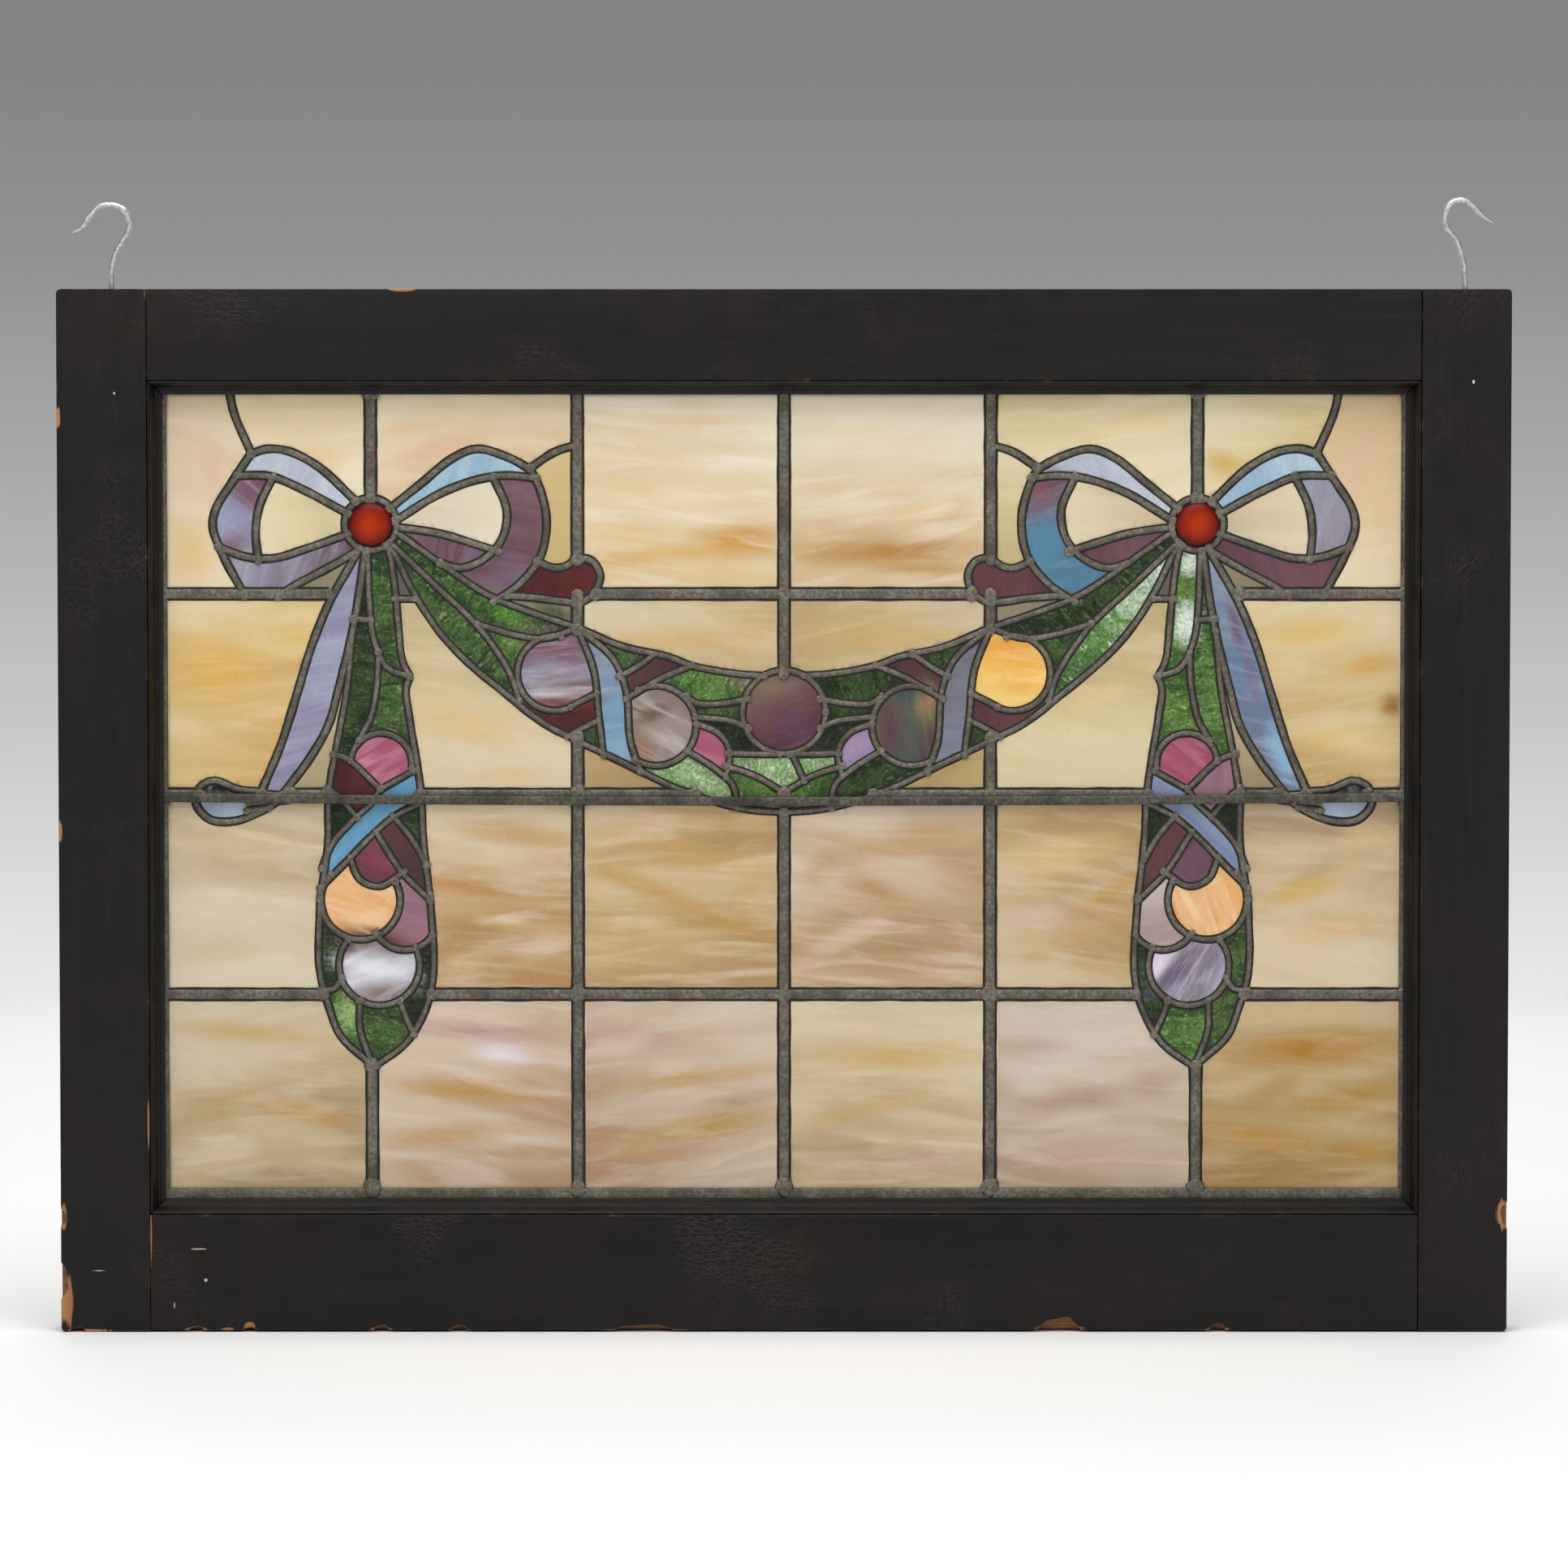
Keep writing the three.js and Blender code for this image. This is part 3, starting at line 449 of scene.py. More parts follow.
# the border lead is flat, and as wide as the gap between the glass and the sash
border = {"sides": 10.5, "head": 7.0, "foot": 14.0,
          "shape": {"Depth": 5.2, "Rounding": 1.4, "Wander": 0.04}}
out = panel["insideHalf"] + border["sides"] / 2
lift = panel["insideTop"] + border["head"] / 2
drop = panel["insideBottom"] - border["foot"] / 2
borderLines = {
    "sides": [[Vector((s * out, drop)), Vector((s * out, lift))] for s in (-1, 1)],
    "head": [[Vector((-out, lift)), Vector((out, lift))]],
    "foot": [[Vector((-out, drop)), Vector((out, drop))]],
}
for part, lines in borderLines.items():
    cames["came_border_" + part] = {"lines": lines, "Width": border[part], **border["shape"]}
for index, (name, spec) in enumerate(cames.items()):
    spec |= {"middle": panel["cameMiddle"], "step": 6.0}
    addPiece(name, strandMesh(spec, index, cameLead), ["lead_lattice"])

# cement squeezed out along both edges of every came, lower than the lead
cementBed = {"beyond": 1.2, "Depth": 3.7, "Rounding": 0.9, "Wander": 0.28, "step": 5.0, "firstSeed": 11}
for index, (kind, width) in enumerate(leadWidth.items()):
    spec = cementBed | {"lines": bowLeads if kind == "bow" else leads[kind],
                        "Width": width + cementBed["beyond"], "middle": panel["cameMiddle"]}
    addPiece("cement_" + kind, strandMesh(spec, cementBed["firstSeed"] + index, cement))

print("stage: solder")

solder = {
    "reach": {"bow": 2.7, "leaf": 2.35, "grid": 4.2, "crossing": 4.9, "foot": 5.2},
    "height": 0.5, "front": -1.45, "back": 3.45, "seed": 3,
}
column, row = panel["column"], panel["row"]
joints = [(p, solder["reach"][kind]) for kind in ("bow", "leaf", "grid") for line in leads[kind]
          for p in (line[0], line[-1])]
crossings = {(s * x, z) for s in (-1, 1) for x in (0, column) for z in (-row, 0, row)}
crossings |= {(s * 2 * column, panel["insideTop"]) for s in (-1, 1)}
joints += [(Vector(p), solder["reach"]["crossing"]) for p in sorted(crossings)]
joints += [(Vector((k * column, panel["insideBottom"] + 1)), solder["reach"]["foot"]) for k in range(-2, 3)]
blobs = blobTree()
for side in ("front", "back"):
    mesh = bpy.data.meshes.new("joints")
    mesh.from_pydata([(p[0] * mm, (p[1] + panel["middle"]) * mm, 0) for p, _ in joints], [], [])
    reaches = mesh.attributes.new("reach", "FLOAT", "POINT")
    reaches.data.foreach_set("value", [reach * mm for _, reach in joints])
    values = {"Height": solder["height"] * mm, "Seed": solder["seed"], "Finish": solderMetal}
    beads = standUp(grown(blobs, mesh, values), solder[side] * mm)
    addPiece("solder_" + side, windingOutward(beads))

print("stage: panes")

# Colours of the glasses in ribbons, fruit and leaves, each a run of three from one end of a pane to the
# other, with the colour of its wisps: thin streaks in ribbons and fruit, flakes in leaves.
glasses = {
    "drab": ("8c8266", "887e64", "80765c", "a0967a"),
    "lavender": ("bcc0cc", "aeb4c2", "b8bec8", "d8dae2"),
    "lilacFade": ("a29fae", "868090", "6c5058", "bcbcc8"),
    "skyBlue": ("96b4c8", "94b2c6", "b0c8d4", "cadae2"),
    "eyeBlue": ("9a9cb4", "8c8ea6", "74505c", "b8bccc"),
    "riverBlue": ("7c5058", "54809c", "50788f", "74a0b8"),
    "dusk": ("74565e", "66484f", "746070", "846a76"),
    "plum": ("66464e", "6c4c54", "5e4048", "7e5f68"),
    "plumDark": ("563839", "503536", "483032", "684a4a"),
    "maroon": ("5a282a", "542425", "482020", "6c3638"),
    "maroonSoft": ("5e3a3e", "623e41", "54363a", "724a4e"),
    "tailBlue": ("8c88a0", "9a9eb4", "8c84a0", "b4b8c8"),
    "tailSteel": ("808a9e", "647c98", "746c80", "98a4b8"),
    "ribbonBlue": ("848898", "7490aa", "7ca4bc", "9cb8c8"),
    "ribbonGrey": ("8a8090", "948e9c", "9094a4", "a8a8b4"),
    "duskBlue": ("6a6474", "757480", "74788a", "8c90a0"),
    "sashBlue": ("5c90b0", "6499ba", "6098b8", "88b4cc"),
    "sashGrey": ("7898b8", "8490a8", "7480a0", "98a8c0"),
    "leafDark": ("232f1c", "384a28", "1f2a18", "667c56"),
    "leaf": ("2c3f22", "4a6134", "2e4024", "86a070"),
    "leafBright": ("365026", "5c7c3a", "3f5c2c", "9cb484"),
    "leafFrost": ("b4c4aa", "5e8648", "40602f", "dce6d6"),
    "leafPale": ("6c8c58", "92ac7c", "748c64", "d4e0c4"),
    "leafBlack": ("1a2417", "222e1c", "181f15", "44543c"),
    "pink": ("a85a72", "a2526c", "b87890", "cc94a4"),
    "rose": ("9a4c62", "a05066", "984a60", "bc7888"),
    "orchid": ("9480a0", "9e88a8", "887494", "b8a4be"),
    "wine": ("78404c", "7a3a4a", "683a46", "905866"),
    "mulberry": ("6a4854", "6a4c60", "624452", "7c6474"),
    "orange": ("e2ac6c", "e8b888", "e09c5c", "f4dcb0"),
    "orangeGold": ("e4a44c", "ecb458", "ecc878", "f8e0a0"),
    "mauve": ("8c6c78", "906878", "986c74", "a48890"),
    "pearl": ("84766c", "948880", "745e50", "b4aca6"),
    "pearlDark": ("605a36", "3c5052", "56393c", "706858"),
    "berry": ("6c4854", "948c9e", "64403a", "d4d2da"),
    "snow": ("54282c", "d4d4dc", "7c6468", "ececf2"),
    "snowDusk": ("dccce0", "7c7480", "a8a4bc", "ece4f0"),
    "oyster": ("c8bcb4", "b4a09c", "a89090", "dcd4d0"),
    "heart": ("705c56", "664044", "523640", "7c5658"),
    "curlBlue": ("98a4b4", "a4b4c4", "8c98a8", "c4d0dc"),
    "leadGrey": ("5d5a51", "5d5a51", "5d5a51", "6d6a61"),
}
# Each pane: a point in it, then for the left and the right pane its glass, the way its colours run in
# degrees (as drawn on the right), how far they waver and how strong the wisps are. What is given once holds
# on both sides. Background panes give their own four colours instead of a named glass.
paneTable = [
    # the first three panes, in the top row under the head bead, are given lighter colours: painted light
    # against the shade that the bead casts on them
    ((282, 225), ("dccaa0 e2d0ae e6d9bc f0e6d0", 260, 0.5, 0.5),
     ("d4c08a dfcfa8 e3d5b5 eee2c6", 130, 0.6, 0.5)),
    ((224, 222), ("d8bc98 decaa6 e4d4b4 ecdfc8", 80, 0.5, 0.5),
     ("d8c698 dfcfa8 e5d7b6 eee4cc", 280, 0.5, 0.5)),
    ((356, 212), ("d8c2a2 dcc8a8 e0ceae eadcc6", 270, 0.4, 0.5),
     ("d4ba90 d8c298 dfceac e8d8bc", 270, 0.5, 0.5)),
    ((192, 204), ("skyBlue", 200, 0.4, 0.4), ("lavender", 200, 0.4, 0.5)),
    ((300, 200), ("lavender", 20, 0.4, 0.5), ("skyBlue", 20, 0.4, 0.4)),
    ((142, 198), ("c2aa74 c9b07c d0b888 dcc8a0", 90, 0.3, 0.3),
     ("bfae80 ccbc8c d8caa4 e2d6b8", 90, 0.4, 0.4)),
    ((64, 188), ("e8dcc2 decba8 d6bf94 f2e8d6", 285, 0.5, 0.7),
     ("e4d8c0 dbc9a8 cfb48c f0e6d4", 270, 0.5, 0.7)),
    ((192, 174), ("cfc2a8 d6c9b1 dfd3ba e8dec8", 200, 0.4, 0.3),
     ("c4b48e cebe9d d9cba9 e2d6ba", 200, 0.4, 0.3)),
    ((304, 170), ("ccbe94 dbcaa1 e0d0ae e8dcc0", 0, 0.4, 0.3),
     ("c4b494 d2c1a0 dacaac e4d8be", 0, 0.4, 0.4)),
    ((339, 168), ("eyeBlue", 125, 0.3, 0.5), ("ribbonGrey", 160, 0.5, 0.7)),
    ((210, 152), ("dusk", 190, 0.5, 0.8), ("plum", 190, 0.4, 0.3)),
    ((170, 142), ("dusk", 280, 0.5, 0.5), ("riverBlue", 290, 0.25, 0.4)),
    ((309, 136), ("lilacFade", 200, 0.4, 0.5), ("plum", 200, 0.4, 0.4)),
    ((281, 133), ("drab", 0, 0.3, 0.2)),
    ((128, 132), ("maroon", 0, 0.3, 0.2), ("maroonSoft", 0, 0.4, 0.3)),
    ((236, 128), ("leadGrey", 0, 0, 0)),
    ((247, 110), ("leaf", 265, 0.8, 0.7), ("leafBright", 275, 0.5, 0.6)),
    ((190, 116), ("leaf", 230, 0.8, 0.7), ("leafDark", 230, 0.8, 0.8)),
    ((260, 114), ("leafBlack", 270, 0.5, 0.3), ("leaf", 270, 0.6, 0.6)),
    ((136, 113), ("drab", 0, 0.3, 0.3)),
    ((200, 100), ("leaf", 230, 0.8, 0.8), ("leafFrost", 230, 0.35, 0.8)),
    ((27, 98), ("bea47a c9b68e d2c2a0 dccdae", 0, 0.5, 0.5),
     ("b8a074 c2aa7c c8b696 d6c8a6", 0, 0.5, 0.5)),
    ((169, 90), ("leafBright", 230, 0.6, 0.5), ("leaf", 230, 0.7, 0.6)),
    ((98, 84), ("leaf", 200, 0.6, 0.5), ("leafDark", 200, 0.7, 0.6)),
    ((340, 78), ("cba76c d7bb83 dcc8a2 e4d6b4", 60, 0.7, 0.5),
     ("c0a06a d1b785 d8c6a0 e0d2b0", 75, 0.5, 0.6)),
    ((81, 78), ("plumDark", 200, 0.4, 0.2)),
    ((141, 75), ("berry", 265, 0.25, 0.5), ("orangeGold", 270, 0.5, 0.6)),
    ((54, 68), ("leafBright", 200, 0.7, 0.7), ("leafDark", 200, 0.7, 0.6)),
    ((106, 56), ("ribbonBlue", 265, 0.4, 0.5), ("duskBlue", 265, 0.4, 0.5)),
    ((32, 52), ("leaf", 180, 0.6, 0.4), ("leafDark", 180, 0.6, 0.4)),
    ((292, 50), ("tailBlue", 255, 0.5, 0.5), ("tailSteel", 255, 0.5, 0.8)),
    ((244, 50), ("leaf", 275, 0.7, 0.8), ("leafBright", 275, 0.7, 0.8)),
    ((131, 46), ("maroon", 210, 0.3, 0.2), ("maroonSoft", 210, 0.4, 0.3)),
    ((76, 43), ("pearl", 300, 0.8, 1.0), ("pearlDark", 10, 0.35, 0.5)),
    ((192, 40), ("c0ae84 d0be96 d8c8a8 e2d4b6", 280, 0.6, 0.5),
     ("bba87c cbb88c d6c8a0 e0d2b2", 280, 0.6, 0.5)),
    ((120, 37), ("leafDark", 0, 0.5, 0.3)),
    ((28, 35), ("leafBlack", 180, 0.6, 0.5)),
    ((46, 30), ("pink", 290, 0.4, 0.4), ("orchid", 290, 0.4, 0.4)),
    ((250, 21), ("pink", 60, 0.6, 0.8), ("rose", 60, 0.6, 0.8)),
    ((2, 14), ("leafPale", 0, 0.8, 1.0)),
    ((60, 14), ("leafPale", 120, 0.7, 1.0), ("leafDark", 120, 0.7, 0.7)),
    ((113, 14), ("a48a5a aa9060 b49a6c c4ac80", 0, 0.5, 0.3),
     ("aa925e b19964 b89e70 c8b088", 300, 0.6, 0.4)),
    ((290, 12), ("a8966e b4a386 c0b090 ccbea0", 90, 0.4, 0.3),
     ("9c8a68 a99879 b8a686 c6b698", 90, 0.4, 0.3)),
    ((274, 16), ("maroon", 0, 0.3, 0.2), ("mauve", 0, 0.4, 0.4)),
    ((260, 70), ("leafDark", 275, 0.7, 0.7), ("leafBright", 275, 0.8, 0.6)),
    ((19, 2), ("leafBright", 20, 0.6, 0.5), ("leafDark", 20, 0.6, 0.5)),
    ((241, -2), ("sashBlue", 230, 0.4, 0.5), ("sashGrey", 230, 0.5, 0.5)),
    ((350, -4), ("curlBlue", 0, 0.3, 0.4)),
    ((274, -14), ("leafBlack", 270, 0.5, 0.4), ("leafBlack", 270, 0.5, 0.5)),
    ((231, -16), ("leafDark", 270, 0.5, 0.5), ("leafBlack", 270, 0.5, 0.4)),
    ((240, -28), ("plumDark", 240, 0.4, 0.2), ("maroonSoft", 240, 0.4, 0.3)),
    ((254, -42), ("wine", 300, 0.5, 0.4), ("mulberry", 120, 0.5, 0.4)),
    ((175, -50), ("b0895c c8ab84 d4c2a0 e0d2bc", 80, 0.6, 0.8),
     ("b4946a c4a97d ccb896 dccbb0", 200, 0.7, 0.7)),
    ((64, -62), ("b08f64 c5a87b cfb896 e0ceb2", 50, 0.7, 0.8),
     ("ac8a66 c0a480 ccb69c dccbb6", 100, 0.7, 0.9)),
    ((335, -67), ("bea985 cfbca0 d8cab0 e4d8c2", 270, 0.5, 0.5),
     ("aa9272 c8b18c d6c4a4 e0d0b4", 270, 0.5, 0.5)),
    ((266, -69), ("orange", 290, 0.7, 0.8), ("orange", 200, 0.9, 0.9)),
    ((232, -82), ("mauve", 280, 0.4, 0.4), ("oyster", 280, 0.4, 0.5)),
    ((280, -92), ("leafDark", 270, 0.5, 0.4), ("leaf", 270, 0.6, 0.7)),
    ((252, -109), ("snow", 245, 0.2, 0.4), ("snowDusk", 330, 0.45, 0.6)),
    ((229, -128), ("leafBlack", 270, 0.5, 0.5), ("leafDark", 270, 0.6, 0.5)),
    ((272, -130), ("leafBright", 270, 0.5, 0.7), ("leaf", 270, 0.6, 0.6)),
    ((246, -146), ("leaf", 270, 0.6, 0.6), ("leafBright", 270, 0.6, 0.6)),
    ((320, -186), ("ac9672 c3ad88 d0c0a4 dccfb4", 70, 0.6, 0.7),
     ("a48252 b89d70 c6ae88 d2bc98", 80, 0.6, 0.7)),
    ((192, -186), ("b39272 c5ad92 d2bda6 e0d2c4", 60, 0.6, 0.7),
     ("b29a80 c3b09a d0c0b0 dccfc0", 80, 0.6, 0.7)),
    ((64, -186), ("b08c70 c2ac94 cfbba4 dccbba", 120, 0.6, 0.8),
     ("b49c78 cab592 d4c4a2 e0d2b6", 70, 0.6, 0.7)),
    ((2, 52), ("heart", 250, 0.35, 0.4)),
    ((16, 18), ("leafPale", 0, 0.8, 0.8)),
]
namedPanes = {
    "pane_corner": (368, 189), "pane_over_bow": (293, 229), "pane_outer_eye": (303, 169),
    "pane_over_knot": (210, 229), "pane_beside_bow": (138, 179), "pane_inner_eye": (198, 179),
    "pane_top_middle": (63, 189), "pane_side": (353, 64), "pane_beside_drop": (287, 19.5),
    "pane_under_swag": (183, 29), "pane_over_garland": (58, 99), "pane_under_garland": (115.5, 9.5),
    "pane_low_side": (333, -60), "pane_low_between": (173, -60), "pane_low_middle": (63, -60),
    "pane_foot_side": (323, -185), "pane_foot_between": (188, -185), "pane_foot_middle": (63, -185),
    "ribbon_outer_turn": (339, 169), "ribbon_inner_turn": (159, 169), "ribbon_outer_fold": (306, 139),
    "ribbon_tail": (285.5, 74.5),
}


def stripQuads(line, width):
    # the strip of glass that a lead covers, as four-cornered pieces
    half = width / 2
    sides = []
    for i, point in enumerate(line):
        along = (line[min(i + 1, len(line) - 1)] - line[max(i - 1, 0)]).normalized()
        across = Vector((-along.y, along.x)) * half
        sides.append((point + across, point - across))
    return [(a[0], a[1], b[1], b[0]) for a, b in zip(sides, sides[1:])]


leastPane = 12.0  # square millimetres


def paneOutlines():
    # what the leads leave of the panel, as outlines that run anticlockwise
    corners, faces = [], []
    side, top, bottom = panel["insideHalf"], panel["insideTop"], panel["insideBottom"]
    shapes = [[Vector(p) for p in ((-side, bottom), (side, bottom), (side, top), (-side, top))]]
    for kind, lines in leads.items():
        for line in lines:
            shapes += stripQuads(line, leadWidth[kind])
    for centre in jewelCentres:
        shapes.append([Vector(p) for p in arcLine(centre, panel["jewelHole"], 0, 350, 35)])
    for shape in shapes:
        faces.append(list(range(len(corners), len(corners) + len(shape))))
        corners += shape
    points, _, triangles, _, _, covered = delaunay_2d_cdt(corners, [], faces, 1, 1e-4)
    glass = [t for t, held in zip(triangles, covered) if set(held) == {0}]
    owners = {}
    for index, triangle in enumerate(glass):
        for a, b in zip(triangle, triangle[1:] + triangle[:1]):
            owners[(a, b)] = index
    outlines, seen = [], set()
    for start in range(len(glass)):
        if start in seen:
            continue
        seen.add(start)
        island, queue = [], [start]
        while queue:
            island.append(queue.pop())
            triangle = glass[island[-1]]
            for a, b in zip(triangle, triangle[1:] + triangle[:1]):
                other = owners.get((b, a))
                if other is not None and other not in seen:
                    seen.add(other)
                    queue.append(other)
        outlines += rims(island, glass, owners, points)
    return outlines


def signedArea(outline):
    return sum(a.x * b.y - b.x * a.y for a, b in zip(outline, outline[1:] + outline[:1])) / 2


def rims(island, glass, owners, points):
    # the outer rim of one patch of triangles, unless the patch is too small to be a pane
    edges = []
    for index in island:
        triangle = glass[index]
        edges += [(a, b) for a, b in zip(triangle, triangle[1:] + triangle[:1]) if (b, a) not in owners]
    loops, path = [], []
    while edges:
        k = next((i for i, e in enumerate(edges) if not path or e[0] == path[-1]), 0)
        a, b = edges.pop(k)
        path = path + [b] if path else [a, b]
        if path.index(b) < len(path) - 1:
            met = path.index(b)
            loops.append(path[met + 1:])
            path = path[:met + 1] if met else []
    best = max(([points[i] for i in loop] for loop in loops), key=signedArea)
    return [best] if signedArea(best) > leastPane else []


def tidyOutline(outline, least=0.4):
    # without the points that crowd closer than the least distance
    kept = [outline[0]]
    for point in outline[1:]:
        if (point - kept[-1]).length > least:
            kept.append(point)
    return kept if (kept[-1] - kept[0]).length > least else kept[:-1]


def pushedOut(outline, distance):
    # grown on all sides, so that the glass reaches in under its leads
    moved = []
    for before, here, after in zip(outline[-1:] + outline[:-1], outline, outline[1:] + outline[:1]):
        entry, leave = (here - before).normalized(), (after - here).normalized()
        outward = Vector((entry.y + leave.y, -entry.x - leave.x)).normalized()
        reach = distance / max(outward.dot(Vector((entry.y, -entry.x))), 0.6)
        moved.append(here + outward * reach)
    return moved


def surrounds(outline, point):
    inside = False
    for a, b in zip(outline, outline[1:] + outline[:1]):
        crosses = (a.y > point.y) != (b.y > point.y)
        if crosses and point.x < a.x + (b.x - a.x) * (point.y - a.y) / (b.y - a.y):
            inside = not inside
    return inside


def paneSheet(outline, spacing):
    # the pane's outline filled with small triangles, so that its face can ripple
    xs, ys = [p.x for p in outline], [p.y for p in outline]
    inner, odd = [], False
    y = min(ys) + spacing / 2
    while y < max(ys):
        x = min(xs) + spacing * (1.0 if odd else 0.5)
        while x < max(xs):
            spot = Vector((x, y))
            if surrounds(outline, spot):
                inner.append(spot)
            x += spacing
        y += spacing * 0.87
        odd = not odd
    return delaunay_2d_cdt(outline + inner, [], [list(range(len(outline)))], 1, 1e-4)


# How each family of glass was rolled: the size of its clouds and wisps along and across the streaks in
# millimetres, where the wisps start and are full, how strong its fine speckle is, its roughness, the height
# of its ripple in the mesh and in the shading, and how far apart the points of its mesh lie.
families = {
    "opal": {"cloud": (130, 34), "wisp": (75, 12), "edge": (0.48, 0.8), "fine": 0.012, "gloss": 0.26,
             "ripple": 0.16, "bump": 0.08, "spacing": 5.5},
    "wispy": {"cloud": (80, 20), "wisp": (40, 7), "edge": (0.48, 0.8), "fine": 0.06, "gloss": 0.17,
              "ripple": 0.1, "bump": 0.15, "spacing": 4.0},
    "flaked": {"cloud": (15, 8), "wisp": (5.5, 2.2), "edge": (0.56, 0.72), "fine": 0.5, "gloss": 0.14,
               "ripple": 0.14, "bump": 0.6, "spacing": 4.0},
}


def familyOf(glass):
    # a background pane gives its own colours, with blanks between them
    return "opal" if " " in glass else "flaked" if glass.startswith("leaf") else "wispy"


def glassMaterial(family, look):
    # machine-rolled opalescent glass: milky colour run through with streaks, under a glossy skin with a
    # slight ripple; the colours of each pane are kept on its corners
    material, add, place = newMaterial("rolled opalescent glass, " + family)
    laid = add("ShaderNodeUVMap", uv_map="streaks")
    start, middle, end, wispHue, accent, facts = [
        add("ShaderNodeAttribute", attribute_name=key) for key in
        ("hueStart", "hueMiddle", "hueEnd", "hueWisp", "accent", "paneFacts")]
    run, waver, milk = add("ShaderNodeSeparateColor", [facts.outputs["Color"]]).outputs
    cloudScale, wispScale = ((1 / along, 1 / across, 1) for along, across in (look["cloud"], look["wisp"]))
    cloud = add(stretch, {"Vector": laid, "Scale": cloudScale})
    cloud = add(grain, [cloud, 1.0, 3, 0.5, 2.0, 0.9])
    wisps = add(stretch, {"Vector": laid, "Scale": wispScale})
    wisps = add(grain, [wisps, 1.0, 4, 0.55, 2.0, 0.7])
    # the run of colour across the pane, pushed to and fro by the clouds
    sway = add(calc, [cloud, 0.5], operation="SUBTRACT")
    sway = add(calc, [sway, add(calc, [waver, 2.8], operation="MULTIPLY"), run], operation="MULTIPLY_ADD")
    first = add(ramp, [sway], stops=[(0.1, 0.0), (0.5, 1.0)])
    second = add(ramp, [sway], stops=[(0.5, 0.0), (0.9, 1.0)])
    tone = add(mix, [first, start.outputs["Color"], middle.outputs["Color"]], data_type="RGBA")
    tone = add(mix, [second, tone, end.outputs["Color"]], data_type="RGBA")
    # a streak of stronger colour laid on from the listed streaks, with a feathered edge
    feather = add(calc, [add(calc, [wisps, 0.5], operation="SUBTRACT"), 1.1, accent.outputs["Alpha"]],
                  operation="MULTIPLY_ADD")
    feather = add(calc, [feather, add(calc, [sway, 0.12], operation="MULTIPLY")], operation="ADD")
    laidOn = add(ramp, [feather], stops=[(0.12, 0.0), (0.95, 1.0)])
    laidOn = add(calc, [laidOn, add(ramp, [accent.outputs["Alpha"]], stops=[(0.02, 0.0), (0.3, 1.0)])],
                 operation="MULTIPLY")
    tone = add(mix, [laidOn, tone, accent.outputs["Color"]], data_type="RGBA")
    low, high = look["edge"]
    wispShare = add(calc, [add(ramp, [wisps], stops=[(low, 0.0), (high, 1.0)]), milk], operation="MULTIPLY")
    tone = add(mix, [wispShare, tone, wispHue.outputs["Color"]], data_type="RGBA")
    speckle = add(grain, [place, 0.55, 3, 0.6])
    speckle = add(ramp, [speckle], stops=[(0.3, 0.5 - look["fine"] / 2), (0.7, 0.5 + look["fine"] / 2)])
    tone = add(mix, [1.0, tone, speckle], data_type="RGBA", blend_type="OVERLAY")
    ripple = add(calc, [add(grain, [place, 0.5, 2, 0.5]), 0.25, add(grain, [place, 0.12, 2, 0.5])],
                 operation="MULTIPLY_ADD")
    rough = add(ramp, [add(grain, [place, 0.35, 3, 0.6])],
                stops=[(0.35, look["gloss"]), (0.8, look["gloss"] + 0.14)])
    finishMaterial(add, tone, rough, ripple, look["bump"], IOR=1.52, Specular_IOR_Level=0.2)
    return material


glassFinishes = {family: glassMaterial(family, look) for family, look in families.items()}
